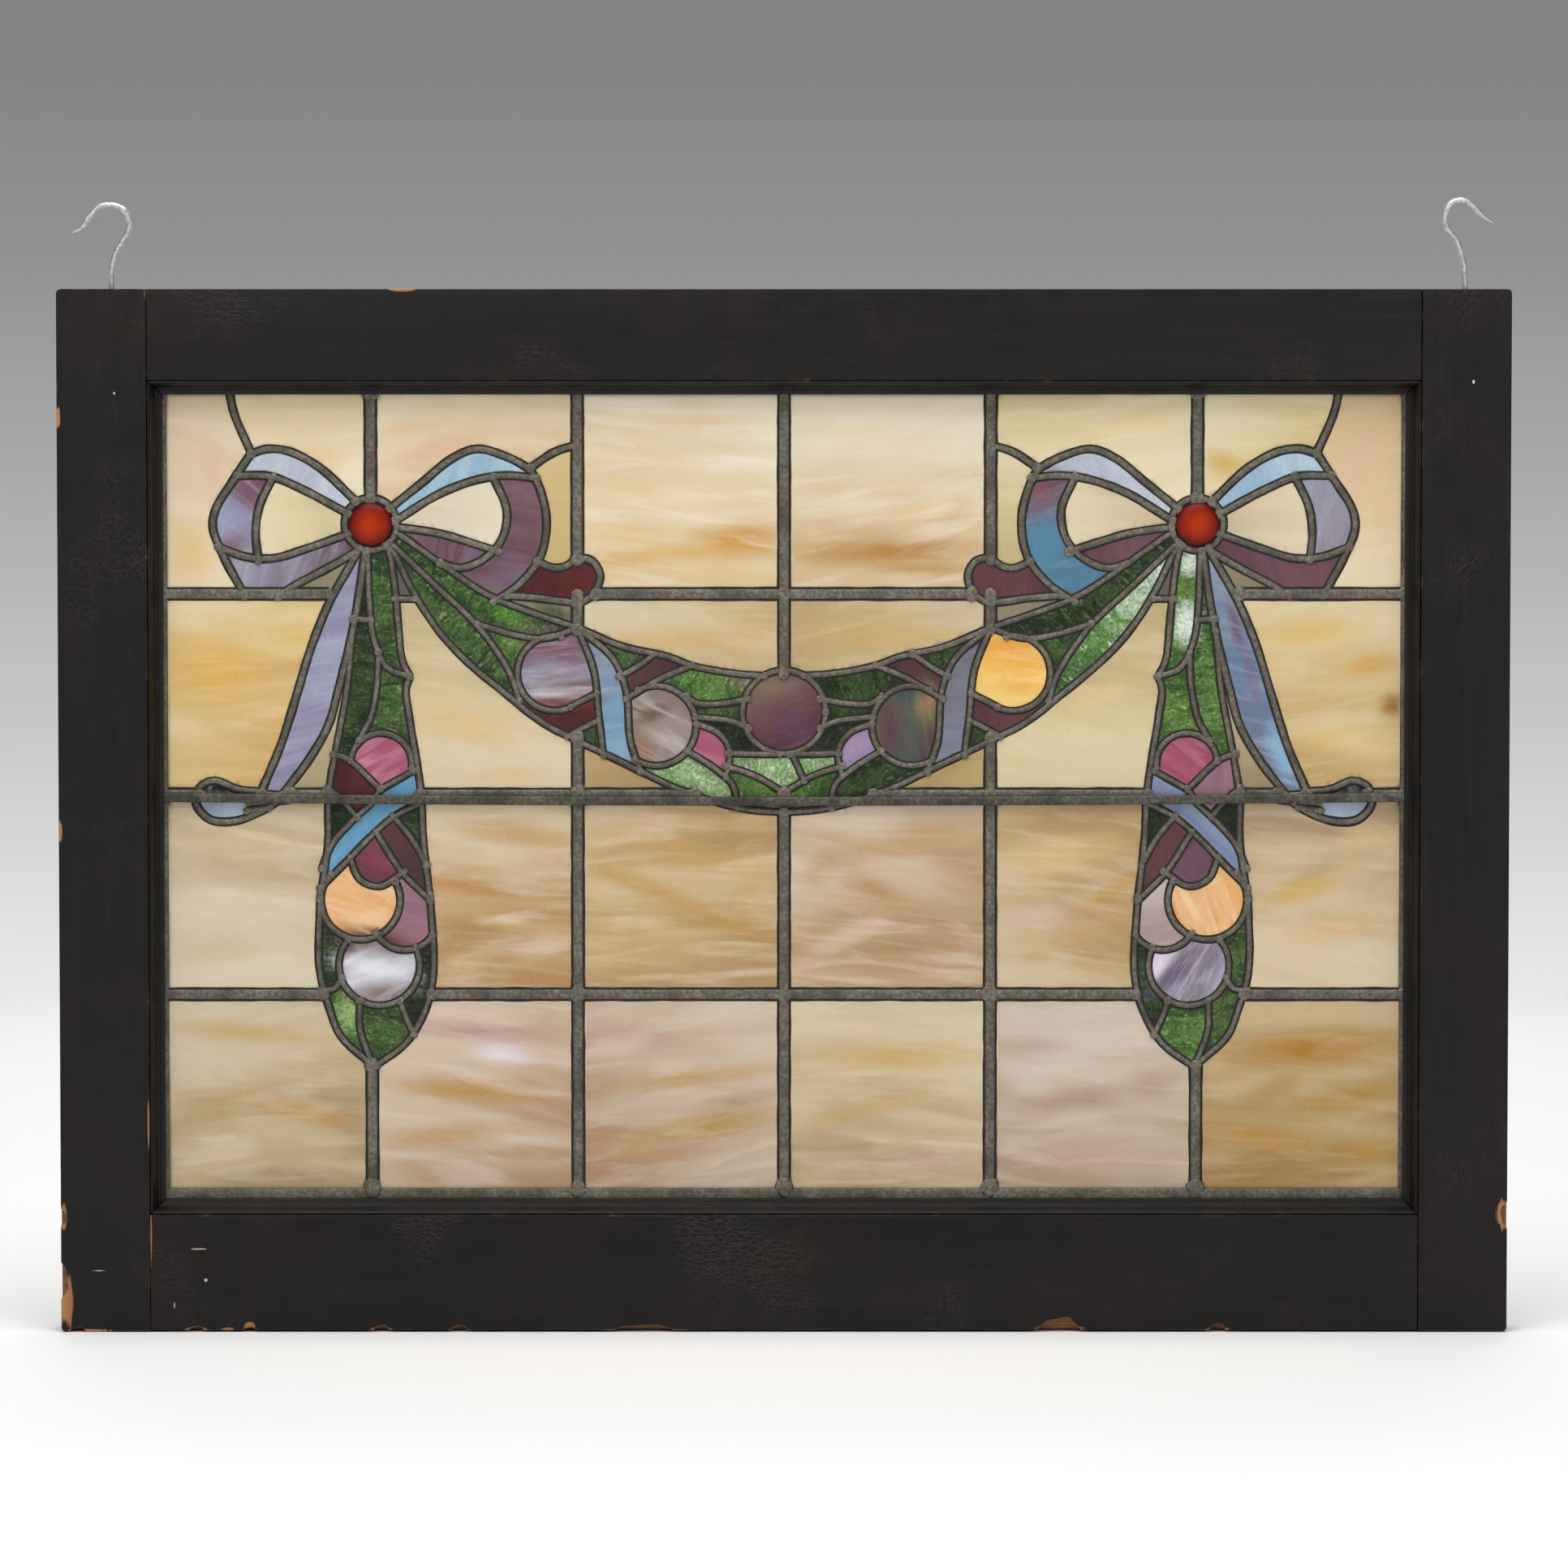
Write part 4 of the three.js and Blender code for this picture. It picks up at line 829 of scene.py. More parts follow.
# Stronger streaks in the background glass, laid where they show most: middle, half length and height, slope
# in degrees, colour and strength
streaks = [
    ((-51, 232), (48, 4), 0, "e2bc7c", 0.7), ((-97, 162), (24, 5), -3, "d4aa68", 0.7),
    ((-25, 157), (34, 13), 6, "c6964c", 1.0), ((-103, 145), (22, 5), 0, "cc9c58", 0.75),
    ((-60, 150), (46, 5), 2, "dcac64", 0.8), ((-70, 186), (46, 5), 3, "e4c08c", 0.5),
    ((-40, 205), (40, 8), 0, "ecdcc8", 0.5),
    ((62, 150), (62, 8), 2, "b4844a", 0.95), ((40, 166), (50, 6), 0, "c4a078", 0.6),
    ((84, 140), (30, 5), 0, "b68a4c", 0.8), ((88, 175), (30, 7), 10, "ddba84", 0.6),
    ((60, 222), (56, 6), -2, "e4ca9c", 0.5),
    ((-352, 198), (9, 26), 8, "dbb09c", 0.6), ((-368, 226), (10, 12), 0, "e0bca4", 0.5),
    ((-366, 150), (14, 22), 0, "dcb97c", 0.7), ((-290, 206), (20, 10), 0, "dcb470", 0.5),
    ((-214, 214), (34, 6), 18, "dcae94", 0.7), ((-232, 226), (24, 5), 10, "e0bc84", 0.6),
    ((-165, 190), (6, 30), 0, "deb464", 0.5),
    ((355, 205), (12, 30), -14, "dcb49c", 0.7), ((368, 180), (8, 26), 0, "dfb890", 0.6),
    ((272, 204), (16, 8), -20, "cca04c", 0.8), ((212, 226), (34, 6), 5, "e6cc90", 0.6),
    ((-350, 78), (32, 24), 8, "d8ac58", 0.9), ((-300, 96), (18, 10), 10, "d8b468", 0.7),
    ((-345, 28), (30, 8), -6, "d6b080", 0.6), ((-322, 50), (26, 6), 12, "e6cc9c", 0.6),
    ((-196, 42), (36, 12), -16, "dcb880", 0.6), ((-170, 12), (26, 7), 0, "dcb27c", 0.5),
    ((376, 55), (8, 8), 20, "98691f", 1.0), ((362, 80), (20, 8), 10, "cc9a50", 0.8),
    ((325, 100), (34, 8), 4, "d8b468", 0.8), ((340, 34), (34, 10), 0, "dcb878", 0.6),
    ((190, 60), (30, 10), 20, "dfc08c", 0.5), ((60, 98), (60, 8), 0, "c49c58", 0.6),
    ((-60, 96), (60, 8), 0, "cfa56a", 0.6), ((-27, 98), (24, 14), 0, "d4ac70", 0.4),
    ((-196, -58), (52, 7), -8, "b88c54", 0.95), ((-178, -78), (46, 6), -14, "c8a878", 0.85),
    ((-184, -48), (34, 4), -10, "c0a078", 0.8), ((-150, -96), (22, 8), 20, "d0b898", 0.7),
    ((-165, -24), (40, 9), -6, "bf925a", 0.7), ((-60, -36), (56, 8), -14, "c29c64", 0.95),
    ((-84, -58), (44, 6), -20, "be944c", 0.8), ((-98, -88), (24, 6), 16, "bf9c5c", 0.8),
    ((-40, -78), (46, 9), -16, "b98e4c", 0.7), ((-60, -104), (50, 6), -6, "caa27c", 0.6),
    ((76, -28), (48, 10), 12, "bc9a6c", 0.85), ((60, -62), (34, 8), -30, "b48a5c", 0.8),
    ((40, -88), (30, 7), 24, "dcc2ae", 0.7), ((96, -84), (26, 8), -34, "b48c70", 0.7),
    ((70, -106), (44, 6), 0, "b89070", 0.7), ((24, -44), (18, 10), 40, "b28c58", 0.6),
    ((200, -62), (26, 5), 34, "b98a2c", 0.95), ((190, -82), (38, 6), 26, "c49a64", 0.7),
    ((160, -76), (30, 9), 0, "d4b2a4", 0.7), ((176, -36), (44, 10), 12, "dcb87c", 0.6),
    ((-340, -30), (40, 12), 0, "e2caa0", 0.5), ((-350, -96), (36, 9), 4, "c6b088", 0.5),
    ((322, -58), (34, 8), 24, "cca85c", 0.85), ((340, -84), (34, 9), 8, "d6b080", 0.7),
    ((360, -26), (22, 8), 0, "dcb888", 0.6),
    ((-330, -148), (54, 6), -4, "c49e5c", 0.7), ((-300, -196), (44, 7), -12, "b88e4c", 0.85),
    ((-352, -190), (30, 10), 0, "ae8e58", 0.6), ((-346, -226), (36, 8), 0, "d8c2a4", 0.5),
    ((-176, -160), (20, 6), -6, "e4d8dc", 1.0), ((-186, -148), (56, 6), -4, "b48c84", 0.8),
    ((-196, -184), (52, 7), -6, "ba8a44", 0.9), ((-206, -212), (48, 7), 4, "b68844", 0.75),
    ((-170, -230), (44, 7), 0, "c6b098", 0.7),
    ((-60, -176), (56, 7), 6, "bc9660", 0.8), ((-48, -206), (50, 9), 10, "b4904c", 0.85),
    ((-92, -222), (32, 7), -6, "c49a66", 0.7), ((-90, -150), (40, 7), -10, "c09c90", 0.8),
    ((-30, -190), (28, 4), 8, "a68670", 0.7),
    ((70, -162), (56, 10), 0, "c8a258", 0.7), ((50, -196), (44, 7), 14, "c4a05c", 0.6),
    ((90, -228), (36, 7), 0, "cbaa9c", 0.7), ((36, -146), (34, 6), -4, "dccab0", 0.6),
    ((150, -156), (26, 6), 0, "b8a498", 0.8), ((228, -180), (18, 10), 10, "b8a08c", 0.9),
    ((196, -226), (50, 8), 0, "c4a094", 0.8), ((180, -190), (44, 8), 8, "a68672", 0.7),
    ((330, -158), (52, 12), 4, "ac7c30", 1.0), ((350, -188), (40, 8), 12, "ac8038", 0.9),
    ((300, -214), (44, 8), -10, "b4863c", 0.85), ((360, -222), (26, 9), 0, "b8904c", 0.8),
    ((300, -186), (24, 8), 30, "a57c3c", 0.6),
]
# Broad marks in the ribbons, fruit and leaves, in the same form
marks = [
    ((-345, 150), (22, 9), 35, "7a4c56", 0.9), ((-330, 186), (16, 9), -40, "74505c", 0.9),
    ((-141, 57.5), (26, 5), 4, "6c3a2c", 1.2), ((-141, 62.5), (24, 2.4), 4, "d8d6e0", 1.1),
    ((-141, 92), (22, 9), -20, "74505f", 1.1), ((-252, -92), (24, 8), -14, "5a3430", 1.1),
    ((-252, -107), (24, 8), -12, "e2e2ea", 1.1), ((-246, -122), (20, 6), 0, "75605c", 0.9),
    ((246, -108), (26, 5), 38, "6e5c74", 1.1), ((-12, 68), (22, 8), -14, "85705c", 0.9),
    ((6, 44), (20, 10), -50, "5c3e54", 0.8), ((-80, 50), (14, 5), 30, "5e4438", 0.8),
    ((-72, 34), (14, 5), -20, "b4a8a0", 0.9), ((-88, 28), (8, 10), 0, "9c6450", 0.7),
    ((88, 54), (10, 16), 0, "7a7a4c", 0.8), ((66, 40), (9, 18), 0, "5a3c48", 0.9),
    ((92, 60), (10, 5), 40, "c07c68", 0.8), ((80, 34), (8, 12), 10, "424a4c", 0.9),
    ((252, 143), (9, 7), 0, "c4d2ba", 1.2), ((249, 106), (8, 12), 0, "d0dccb", 1.2),
    ((-350, 4), (16, 5), 0, "1a1a18", 1.3), ((350, 4), (16, 5), 0, "1a1a18", 1.3),
    ((235, 142), (7, 4), 40, "b0c0aa", 0.9), ((221, 127), (9, 5), 40, "9cb49c", 0.9),
    ((-170, 112), (18, 7), -32, "4c7c2c", 0.9), ((-196, 118), (12, 5), -45, "1f3a1c", 0.8),
    ((-140, 112), (14, 5), -20, "2c4a2c", 0.9), ((-270, -134), (7, 12), 20, "94b070", 0.9),
    ((166, 194), (10, 8), 0, "6a4852", 0.9), ((288, 76), (3.5, 22), 14, "7a6480", 0.8),
    ((308, 26), (8, 20), 18, "84aecb", 1.0), ((279, 104), (4, 18), 14, "6a4a5c", 0.9),
]
leastShare = 0.02  # a streak that covers less than this isn't there


def accentAt(spot, family):
    # the laid-on streaks at a point: their colour, and how far they cover
    colour, cover = (1.0, 1.0, 1.0), 0.0
    for middle, (long, high), slope, hue, strength in streaks if family == "opal" else marks:
        away = spot - Vector(middle)
        turn = math.radians(slope)
        across = Vector((away.x * math.cos(turn) + away.y * math.sin(turn),
                         away.y * math.cos(turn) - away.x * math.sin(turn)))
        share = strength * math.exp(-(across.x / long) ** 2 - (across.y / high) ** 2)
        if share > leastShare:
            own = hexColour(hue)
            part = share / (share + cover)
            colour = tuple(c * (1 - part) + o * part for c, o in zip(colour, own)) if cover else own[:3]
            cover = max(cover, share)
    return (*colour, min(cover, 1.0))


cutting = {
    "underLead": 1.0,  # how far a pane reaches in under its leads
    "ripples": (0.045, 0.06), "levels": 50.0,  # ripples to a millimetre, and where in the noise a pane lies
    "lean": 10.0,  # degrees that the streaks of a background pane may lean
    "sheet": 900.0,  # where in the sheet of glass a pane was cut
}


def paneMesh(outline, recipe, side):
    # a pane with a rippled front, a plain back, and its colours on its corners
    glass, way, waver, milk = recipe
    family = familyOf(glass)
    look = families[family]
    hues = glass.split() if family == "opal" else glasses[glass]
    rim = pushedOut(tidyOutline(outline), cutting["underLead"])
    flat, _, triangles, _, _, _ = paneSheet(rim, look["spacing"])
    count = len(flat)
    lift = dice.uniform(-cutting["levels"], cutting["levels"])
    front, back = panel["glassFront"], panel["glassBack"]
    ripplesAcross, ripplesUp = cutting["ripples"]
    vertices = []
    for p in flat:
        swell = noise.noise(Vector((p.x * ripplesAcross, p.y * ripplesUp, lift))) * look["ripple"]
        vertices.append((p.x * mm, (front + swell) * mm, (p.y + panel["middle"]) * mm))
    vertices += [(p.x * mm, back * mm, (p.y + panel["middle"]) * mm) for p in flat]
    faces = [tuple(t) for t in triangles] + [tuple(reversed([i + count for i in t])) for t in triangles]
    directed = {(a, b): None for t in triangles for a, b in zip(t, t[1:] + t[:1])}
    faces += [(b, a, a + count, b + count) for a, b in directed if (b, a) not in directed]
    smooth = [True] * (2 * len(triangles)) + [False] * (len(faces) - 2 * len(triangles))
    # colour runs one way across the pane; the streaks of the background lie near level
    angle = math.radians(way if side > 0 else 180 - way)
    run = Vector((math.cos(angle), math.sin(angle)))
    lean = angle + math.pi / 2
    if family == "opal":
        lean = math.radians(dice.uniform(-cutting["lean"], cutting["lean"]))
    grainWay = Vector((math.cos(lean), math.sin(lean)))
    reach = [p.dot(run) for p in flat]
    low, high = min(reach), max(reach)
    shift = Vector([dice.uniform(-cutting["sheet"], cutting["sheet"]) for _ in range(2)])
    laid = [(p.dot(grainWay) + shift.x, p.dot(Vector((-grainWay.y, grainWay.x))) + shift.y) for p in flat]
    columns = {key: [hexColour(hue)] * (2 * count)
               for key, hue in zip(("hueStart", "hueMiddle", "hueEnd", "hueWisp"), hues)}
    columns["accent"] = [accentAt(p, family) for p in flat] * 2
    columns["paneFacts"] = [((r - low) / (high - low), waver, milk, 1.0) for r in reach] * 2
    return {"vertices": vertices, "faces": faces, "smooth": smooth, "laid": laid * 2, "columns": columns}


def joinPanes(name, panes, family, replaced):
    # the panes of one group as one piece, in the finish of their family
    vertices, faces, smooth, laid, columns = [], [], [], [], {}
    for pane in panes:
        first = len(vertices)
        vertices += pane["vertices"]
        faces += [tuple(i + first for i in face) for face in pane["faces"]]
        smooth += pane["smooth"]
        laid += pane["laid"]
        for key, column in pane["columns"].items():
            columns.setdefault(key, []).extend(column)
    mesh = bpy.data.meshes.new(name)
    mesh.from_pydata(vertices, [], faces)
    mesh.polygons.foreach_set("use_smooth", smooth)
    uv = mesh.uv_layers.new(name="streaks")
    uv.data.foreach_set("uv", [c for loop in mesh.loops for c in laid[loop.vertex_index]])
    for key, column in columns.items():
        layer = mesh.color_attributes.new(key, "FLOAT_COLOR", "POINT")
        layer.data.foreach_set("color", [c for value in column for c in value])
    return addPiece(name, mesh, replaced, [glassFinishes[family]])


# where the pieces of glass part: the height of each row, the foot of the bows, the sides of the drops, and
# how far out the tails of the ribbons begin
areas = {
    "rows": (("upper", 125), ("high", 0), ("low", -124), ("foot", -math.inf)),
    "bowFoot": 152, "drop": (205, 290), "tails": 285,
}


def partOf(centre, family):
    if family == "opal":
        return next(part for part, floor in areas["rows"] if centre.y > floor)
    if centre.y >= areas["bowFoot"] or family == "wispy" and abs(centre.x) > areas["tails"]:
        return "bow"
    return "drop" if areas["drop"][0] < abs(centre.x) < areas["drop"][1] else "garland"


sideNames = {-1: "left", 1: "right"}
outlines = paneOutlines()
spots = [(Vector((side * at[0], at[1])), side, recipe)
         for at, *recipes in paneTable for side, recipe in zip(sideNames, recipes * 2)]
cadSpots = [(Vector((side * at[0], at[1])), f"{name}_{word}")
            for name, at in namedPanes.items() for side, word in sideNames.items()]
groups = {}
for outline in outlines:
    centre = sum(outline, Vector((0, 0))) / len(outline)
    match = next((s for s in spots if surrounds(outline, s[0])), None)
    side, recipe = match[1:] if match else (1 if centre.x > 0 else -1, ("leadGrey", 0, 0, 0))
    family = familyOf(recipe[0])
    key = (family, partOf(centre, family), sideNames[side])
    group = groups.setdefault(key, {"panes": [], "replaced": []})
    group["panes"].append(paneMesh(outline, recipe, side))
    group["replaced"] += [name for spot, name in cadSpots if surrounds(outline, spot)]
for (family, part, side), group in sorted(groups.items()):
    joinPanes(f"glass_{family}_{part}_{side}", group["panes"], family, sorted(group["replaced"]))
print("panes:", len(outlines), "in", len(groups), "pieces")

print("stage: jewels")

jewel = {
    "radius": 13.4, "bulge": 4.4, "shoulder": -1.5, "rings": 12, "facets": 56,
    "reds": [(0.1, "3c0802"), (1.1, "ac3206"), (0.4, "7c1604")],  # from the rim to the middle
}


def rubyMaterial():
    # pressed ruby glass: deep red, glossy, orange where the light comes through its thicker middle
    material, add, place = newMaterial("pressed ruby glass")
    depth = add(grain, [place, 0.1, 2, 0.5])
    middle = add("ShaderNodeAttribute", attribute_name="middle").outputs["Fac"]
    deep = add(calc, [depth, 0.35, middle], operation="MULTIPLY_ADD")
    tone = add(ramp, [deep], stops=jewel["reds"])
    finishMaterial(add, tone, 0.3, add(grain, [place, 0.2, 1]), 0.15, IOR=1.5, Specular_IOR_Level=0.15)
    return material


ruby = rubyMaterial()
for centre, name in zip(jewelCentres, ("jewel_left", "jewel_right")):
    radius, shoulder, facets = jewel["radius"], jewel["shoulder"], jewel["facets"]
    profile = [(0.0, panel["glassBack"]), (radius, panel["glassBack"]), (radius, shoulder)]
    for k in range(1, jewel["rings"] + 1):
        lean = math.pi / 2 * k / jewel["rings"]
        profile.append((radius * math.cos(lean), shoulder - jewel["bulge"] * math.sin(lean)))
    vertices, faces, inward = [], [], []
    for reach, depth in profile:
        for k in range(facets):
            turn = 2 * math.pi * k / facets
            vertices.append(((centre.x + reach * math.cos(turn)) * mm, depth * mm,
                             (centre.y + panel["middle"] + reach * math.sin(turn)) * mm))
            inward.append(1 - reach / radius)
    for ring in range(len(profile) - 1):
        for k in range(facets):
            a, b = ring * facets + k, ring * facets + (k + 1) % facets
            faces.append((a, b, b + facets, a + facets))
    mesh = bpy.data.meshes.new(name)
    mesh.from_pydata(vertices, [], faces)
    mesh.polygons.foreach_set("use_smooth", [True] * len(faces))
    mesh.attributes.new("middle", "FLOAT", "POINT").data.foreach_set("value", inward)
    addPiece(name + "_dome", windingOutward(mesh), [name], [ruby])

print("stage: sash")

sash = {
    "half": 447.0, "top": -51.0, "bottom": -695.0, "railBottom": -694.0, "face": -17.5,  # outer faces
    "sightHalf": 392.0, "sightTop": -107.0, "sightBottom": -622.5,  # the opening, as the beads leave it
    "arris": 0.9, "beadArris": 0.35,  # how far the edges are eased
    "skin": 0.1, "footSkin": 1.05, "chipDepth": -7.0,  # chips lie behind these skins, and no deeper
    "fading": 0.05,  # how fast a bare patch fades behind the face
    "varnish": [(0.3, "0b0908"), (0.8, "240f0c"), (0.5, "0e0c0b"), (0.66, "170d0b")],
    "vein": "261a16", "crack": "4a3d36", "dust": "5f5852",
    "edges": [(0.37, 0.5, 0.8, "45342b"), (0.5, 0.56, 0.9, "7c5a3e")],  # rubbed, then worn through
    "wood": ("7c4e30", "c08c5c"),  # between and on the fibres
    # hollows left by splinters: middle and half size
    "chips": [((-447, -624), (6, 8)), ((-447, -663), (7, 15)), ((-437, -695), (8, 5)),
              ((447, -622.5), (6, 11)), ((-363.5, -694), (7, 4)), ((-330.5, -694), (6, 4)),
              ((-249, -694), (7, 5)), ((-201, -694), (7, 5)), ((-87, -694), (25, 5)),
              ((170, -694), (17, 10)), ((268, -694), (7, 6))],
    # where the varnish is rubbed through to the wood, and how near a member they count as its own
    "near": 10.0,
    "bare": [((-444.5, -676), (5, 17)), ((-446, -624), (2.5, 9)), ((-391.4, -636), (0.7, 17)),
             ((-392.5, -565), (0.6, 15)), ((444, -622), (4, 10)), ((-235, -51), (8, 1.6)),
             ((-446.5, -385), (1.8, 7)), ((-446.5, -130), (2, 8)), ((-363.5, -694), (7.5, 2.2)),
             ((-344, -693.5), (4, 1.2)), ((-330.5, -692), (3.5, 3)), ((-249, -694), (8, 2)),
             ((-201, -694.3), (7, 1.4)), ((-87, -694.3), (25, 1.6)), ((170, -693.6), (17, 2.6)),
             ((268, -694), (9, 1.8)), ((-430, -694.2), (14, 1.1))],
    # pale nicks, with their hue
    "nicks": [((-362, -643.5), (4.5, 0.45), "a09c92"), ((-357.5, -663), (1.1, 1.2), "c4c4c0"),
              ((-377, -678.5), (0.5, 2.4), "a8a59c"), ((-424, -657), (3.5, 0.45), "a09e96"),
              ((423.5, -108), (0.8, 1.2), "c4c0b4"), ((-411.5, -115), (0.8, 1.0), "b8b4a8")],
}


def sashMaterial(name, lowest, highest, alongX, patches):
    # old shellac over stained pine: nearly black, crazed into small plates, rubbed to brown wood on the
    # edges and to pale wood where it was knocked
    material, add, place = newMaterial(name)
    middle = [(a + b) / 2 / mm for a, b in zip(lowest, highest)]
    half = [(b - a) / 2 / mm for a, b in zip(lowest, highest)]
    short = add(vectors, [add(vectors, [place, middle], operation="SUBTRACT")], operation="ABSOLUTE")
    gaps = add("ShaderNodeSeparateXYZ", [add(vectors, [short, half], operation="SUBTRACT")]).outputs
    # of the distances inside the three pairs of faces, the second smallest is the distance to an edge
    nearest = add(calc, [add(calc, gaps[:2], operation="MAXIMUM"), gaps[2]], operation="MAXIMUM")
    farthest = add(calc, [add(calc, gaps[:2], operation="MINIMUM"), gaps[2]], operation="MINIMUM")
    total = add(calc, [add(calc, gaps[:2], operation="ADD"), gaps[2]], operation="ADD")
    toEdge = add(calc, [add(calc, [total, nearest], operation="SUBTRACT"), farthest], operation="SUBTRACT")
    # the fibre runs along the member, and the plates of the crazing are longer that way too
    turned = 1 if alongX else -1
    fibre = add(stretch, {"Vector": place, "Scale": (0.015, 0.25, 0.4)[::turned]})
    fibre = add(grain, [fibre, 1.0, 5, 0.65, 2.0, 0.4])
    cloud = add(grain, [place, 0.011, 4, 0.6])
    plates = add(stretch, {"Vector": place, "Scale": (0.2, 0.3, 0.36)[::turned]})
    plates = add("ShaderNodeTexVoronoi", {"Vector": plates, "Scale": 1.0}, feature="DISTANCE_TO_EDGE")
    crazed = add(ramp, [add(grain, [place, 0.013, 3, 0.6])], stops=[(0.55, 0.0), (0.68, 1.0)])
    cracks = add(calc, [add(ramp, [plates], stops=[(0.0, 1.0), (0.1, 0.0)]), crazed], operation="MULTIPLY")
    tone = add(ramp, [cloud], stops=sash["varnish"])
    veins = add(ramp, [fibre], stops=[(0.45, 0.0), (0.75, 0.4)])
    tone = add(mix, [veins, tone, hexColour(sash["vein"])], data_type="RGBA")
    faint = add(calc, [cracks, 0.3], operation="MULTIPLY")
    tone = add(mix, [faint, tone, hexColour(sash["crack"])], data_type="RGBA")
    rub = add(calc, [add(grain, [place, 0.08, 4, 0.7]), 5.0, toEdge], operation="MULTIPLY_ADD")
    rub = add(calc, [rub, 6.0], operation="DIVIDE")
    for low, high, strength, hue in sash["edges"]:
        worn = add(ramp, [rub], stops=[(low, 0.0), (high, strength)])
        tone = add(mix, [worn, tone, hexColour(hue)], data_type="RGBA")
    pale = add(mix, [fibre, *map(hexColour, sash["wood"])], data_type="RGBA")
    ragged = add(calc, [fibre, 0.5], operation="SUBTRACT")
    for (x, z), (wide, tall), hue in patches:
        away = add(vectors, [place, (x, sash["face"], z)], operation="SUBTRACT")
        away = add(vectors, [away, (1 / wide, sash["fading"], 1 / tall)], operation="MULTIPLY")
        away = add(vectors, [away], operation="LENGTH")
        away = add(calc, [ragged, 1.6, away], operation="MULTIPLY_ADD")
        spot = add(ramp, [away], stops=[(0.8, 1.0), (1.0, 0.0)])
        tone = add(mix, [spot, tone, hexColour(hue) if hue else pale], data_type="RGBA")
    dust = add(ramp, [add(grain, [place, 0.5, 3, 0.8])], stops=[(0.7, 0.0), (0.78, 0.4)])
    tone = add(mix, [dust, tone, hexColour(sash["dust"])], data_type="RGBA")
    rough = add(ramp, [add(grain, [place, 0.06, 3, 0.6])], stops=[(0.3, 0.36), (0.7, 0.56)])
    lift = add(calc, [fibre, 0.5], operation="MULTIPLY")
    lift = add(calc, [cracks, -0.8, lift], operation="MULTIPLY_ADD")
    finishMaterial(add, tone, rough, lift, 0.25, Specular_IOR_Level=0.25)
    return material


def bareWoodMaterial():
    # fresh pine where a splinter broke away: pale, fibrous and matt
    material, add, place = newMaterial("splintered pine")
    fibre = add(grain, [add(stretch, {"Vector": place, "Scale": (0.08, 0.6, 1.4)}), 1.0, 5, 0.7])
    tone = add(ramp, [fibre], stops=[(0.3, "4a3426"), (0.75, "bb8c60"), (0.5, "8a6244")])
    finishMaterial(add, tone, 0.85, fibre, 0.6)
    return material


splintered = bareWoodMaterial()


def wornCopy(node, arris):
    # the CAD solid with its edges eased
    mesh = bpy.data.meshes.new(node)
    bm = bmesh.new()
    bm.from_mesh(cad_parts[node].data)
    bmesh.ops.remove_doubles(bm, verts=bm.verts, dist=1e-6)
    bmesh.ops.dissolve_limit(bm, angle_limit=math.radians(1), verts=bm.verts, edges=bm.edges)
    sharp = [e for e in bm.edges if len(e.link_faces) == 2 and e.calc_face_angle(0) > math.radians(35)]
    bmesh.ops.bevel(bm, geom=sharp, offset=arris * mm, segments=3, profile=0.5, affect="EDGES",
                    clamp_overlap=True, miter_outer="ARC")
    bmesh.ops.triangulate(bm, faces=[f for f in bm.faces if len(f.verts) > 4])
    for face in bm.faces:
        face.smooth = True
    bm.to_mesh(mesh)
    bm.free()
    mesh.set_sharp_from_angle(angle=math.radians(40))
    return mesh


def paintChips(mesh):
    # the faces inside a splinter's hollow show bare wood
    for face in mesh.polygons:
        x, y, z = face.center / mm
        within = abs(x) <= sash["half"] - sash["skin"] and z >= sash["bottom"] + sash["footSkin"]
        if within and sash["face"] + sash["skin"] <= y < sash["chipDepth"]:
            for (chipX, chipZ), (wide, tall) in sash["chips"]:
                if abs(x - chipX) < wide and abs(z - chipZ) < tall:
                    face.material_index = 1


def patchesNear(lowest, highest):
    # the bare patches and nicks that touch a member; a patch without a hue shows wood
    margin = sash["near"] * mm
    patches = [(*patch, None) for patch in sash["bare"]] + sash["nicks"]
    return [p for p in patches if lowest.x - margin < p[0][0] * mm < highest.x + margin
            and lowest.z - margin < p[0][1] * mm < highest.z + margin]


# the axis across each member, and where its shown face starts and ends on it
members = {
    "stile_left": ("x", -sash["half"], -sash["sightHalf"]),
    "stile_right": ("x", sash["sightHalf"], sash["half"]),
    "rail_top": ("z", sash["sightTop"], sash["top"]),
    "rail_bottom": ("z", sash["railBottom"], sash["sightBottom"]),
}
for node, (axis, start, end) in members.items():
    lowest, highest = (corner.copy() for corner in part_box(node))
    setattr(lowest, axis, start * mm)
    setattr(highest, axis, end * mm)
    finish = sashMaterial("crazed black varnish on pine, " + node, lowest, highest, axis == "z",
                          patchesNear(lowest, highest))
    mesh = wornCopy(node, sash["arris"])
    paintChips(mesh)
    addPiece(node + "_worn", mesh, [node], [finish, splintered])
for node in ("bead_top", "bead_bottom", "bead_left", "bead_right"):
    alongX = node in ("bead_top", "bead_bottom")
    finish = sashMaterial("varnished moulding, " + node, *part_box(node), alongX, [])
    addPiece(node + "_worn", wornCopy(node, sash["beadArris"]), [node], [finish])

print("stage: bar and hooks")

bar = {"half": 387.0, "Width": 5.6, "Depth": 4.0, "Rounding": 1.3, "Wander": 0.05, "seed": 21,
       "endHeight": -1.5, "sag": 2.5, "middle": -3.8}
bar["lines"] = [[Vector((bar["half"] * t, bar["endHeight"] - bar["sag"] * (1 - t * t)))
                 for t in [k / 60 - 1 for k in range(121)]]]
addPiece("saddle_bar_wrought", strandMesh(bar, bar["seed"], barIron), ["saddle_bar"])


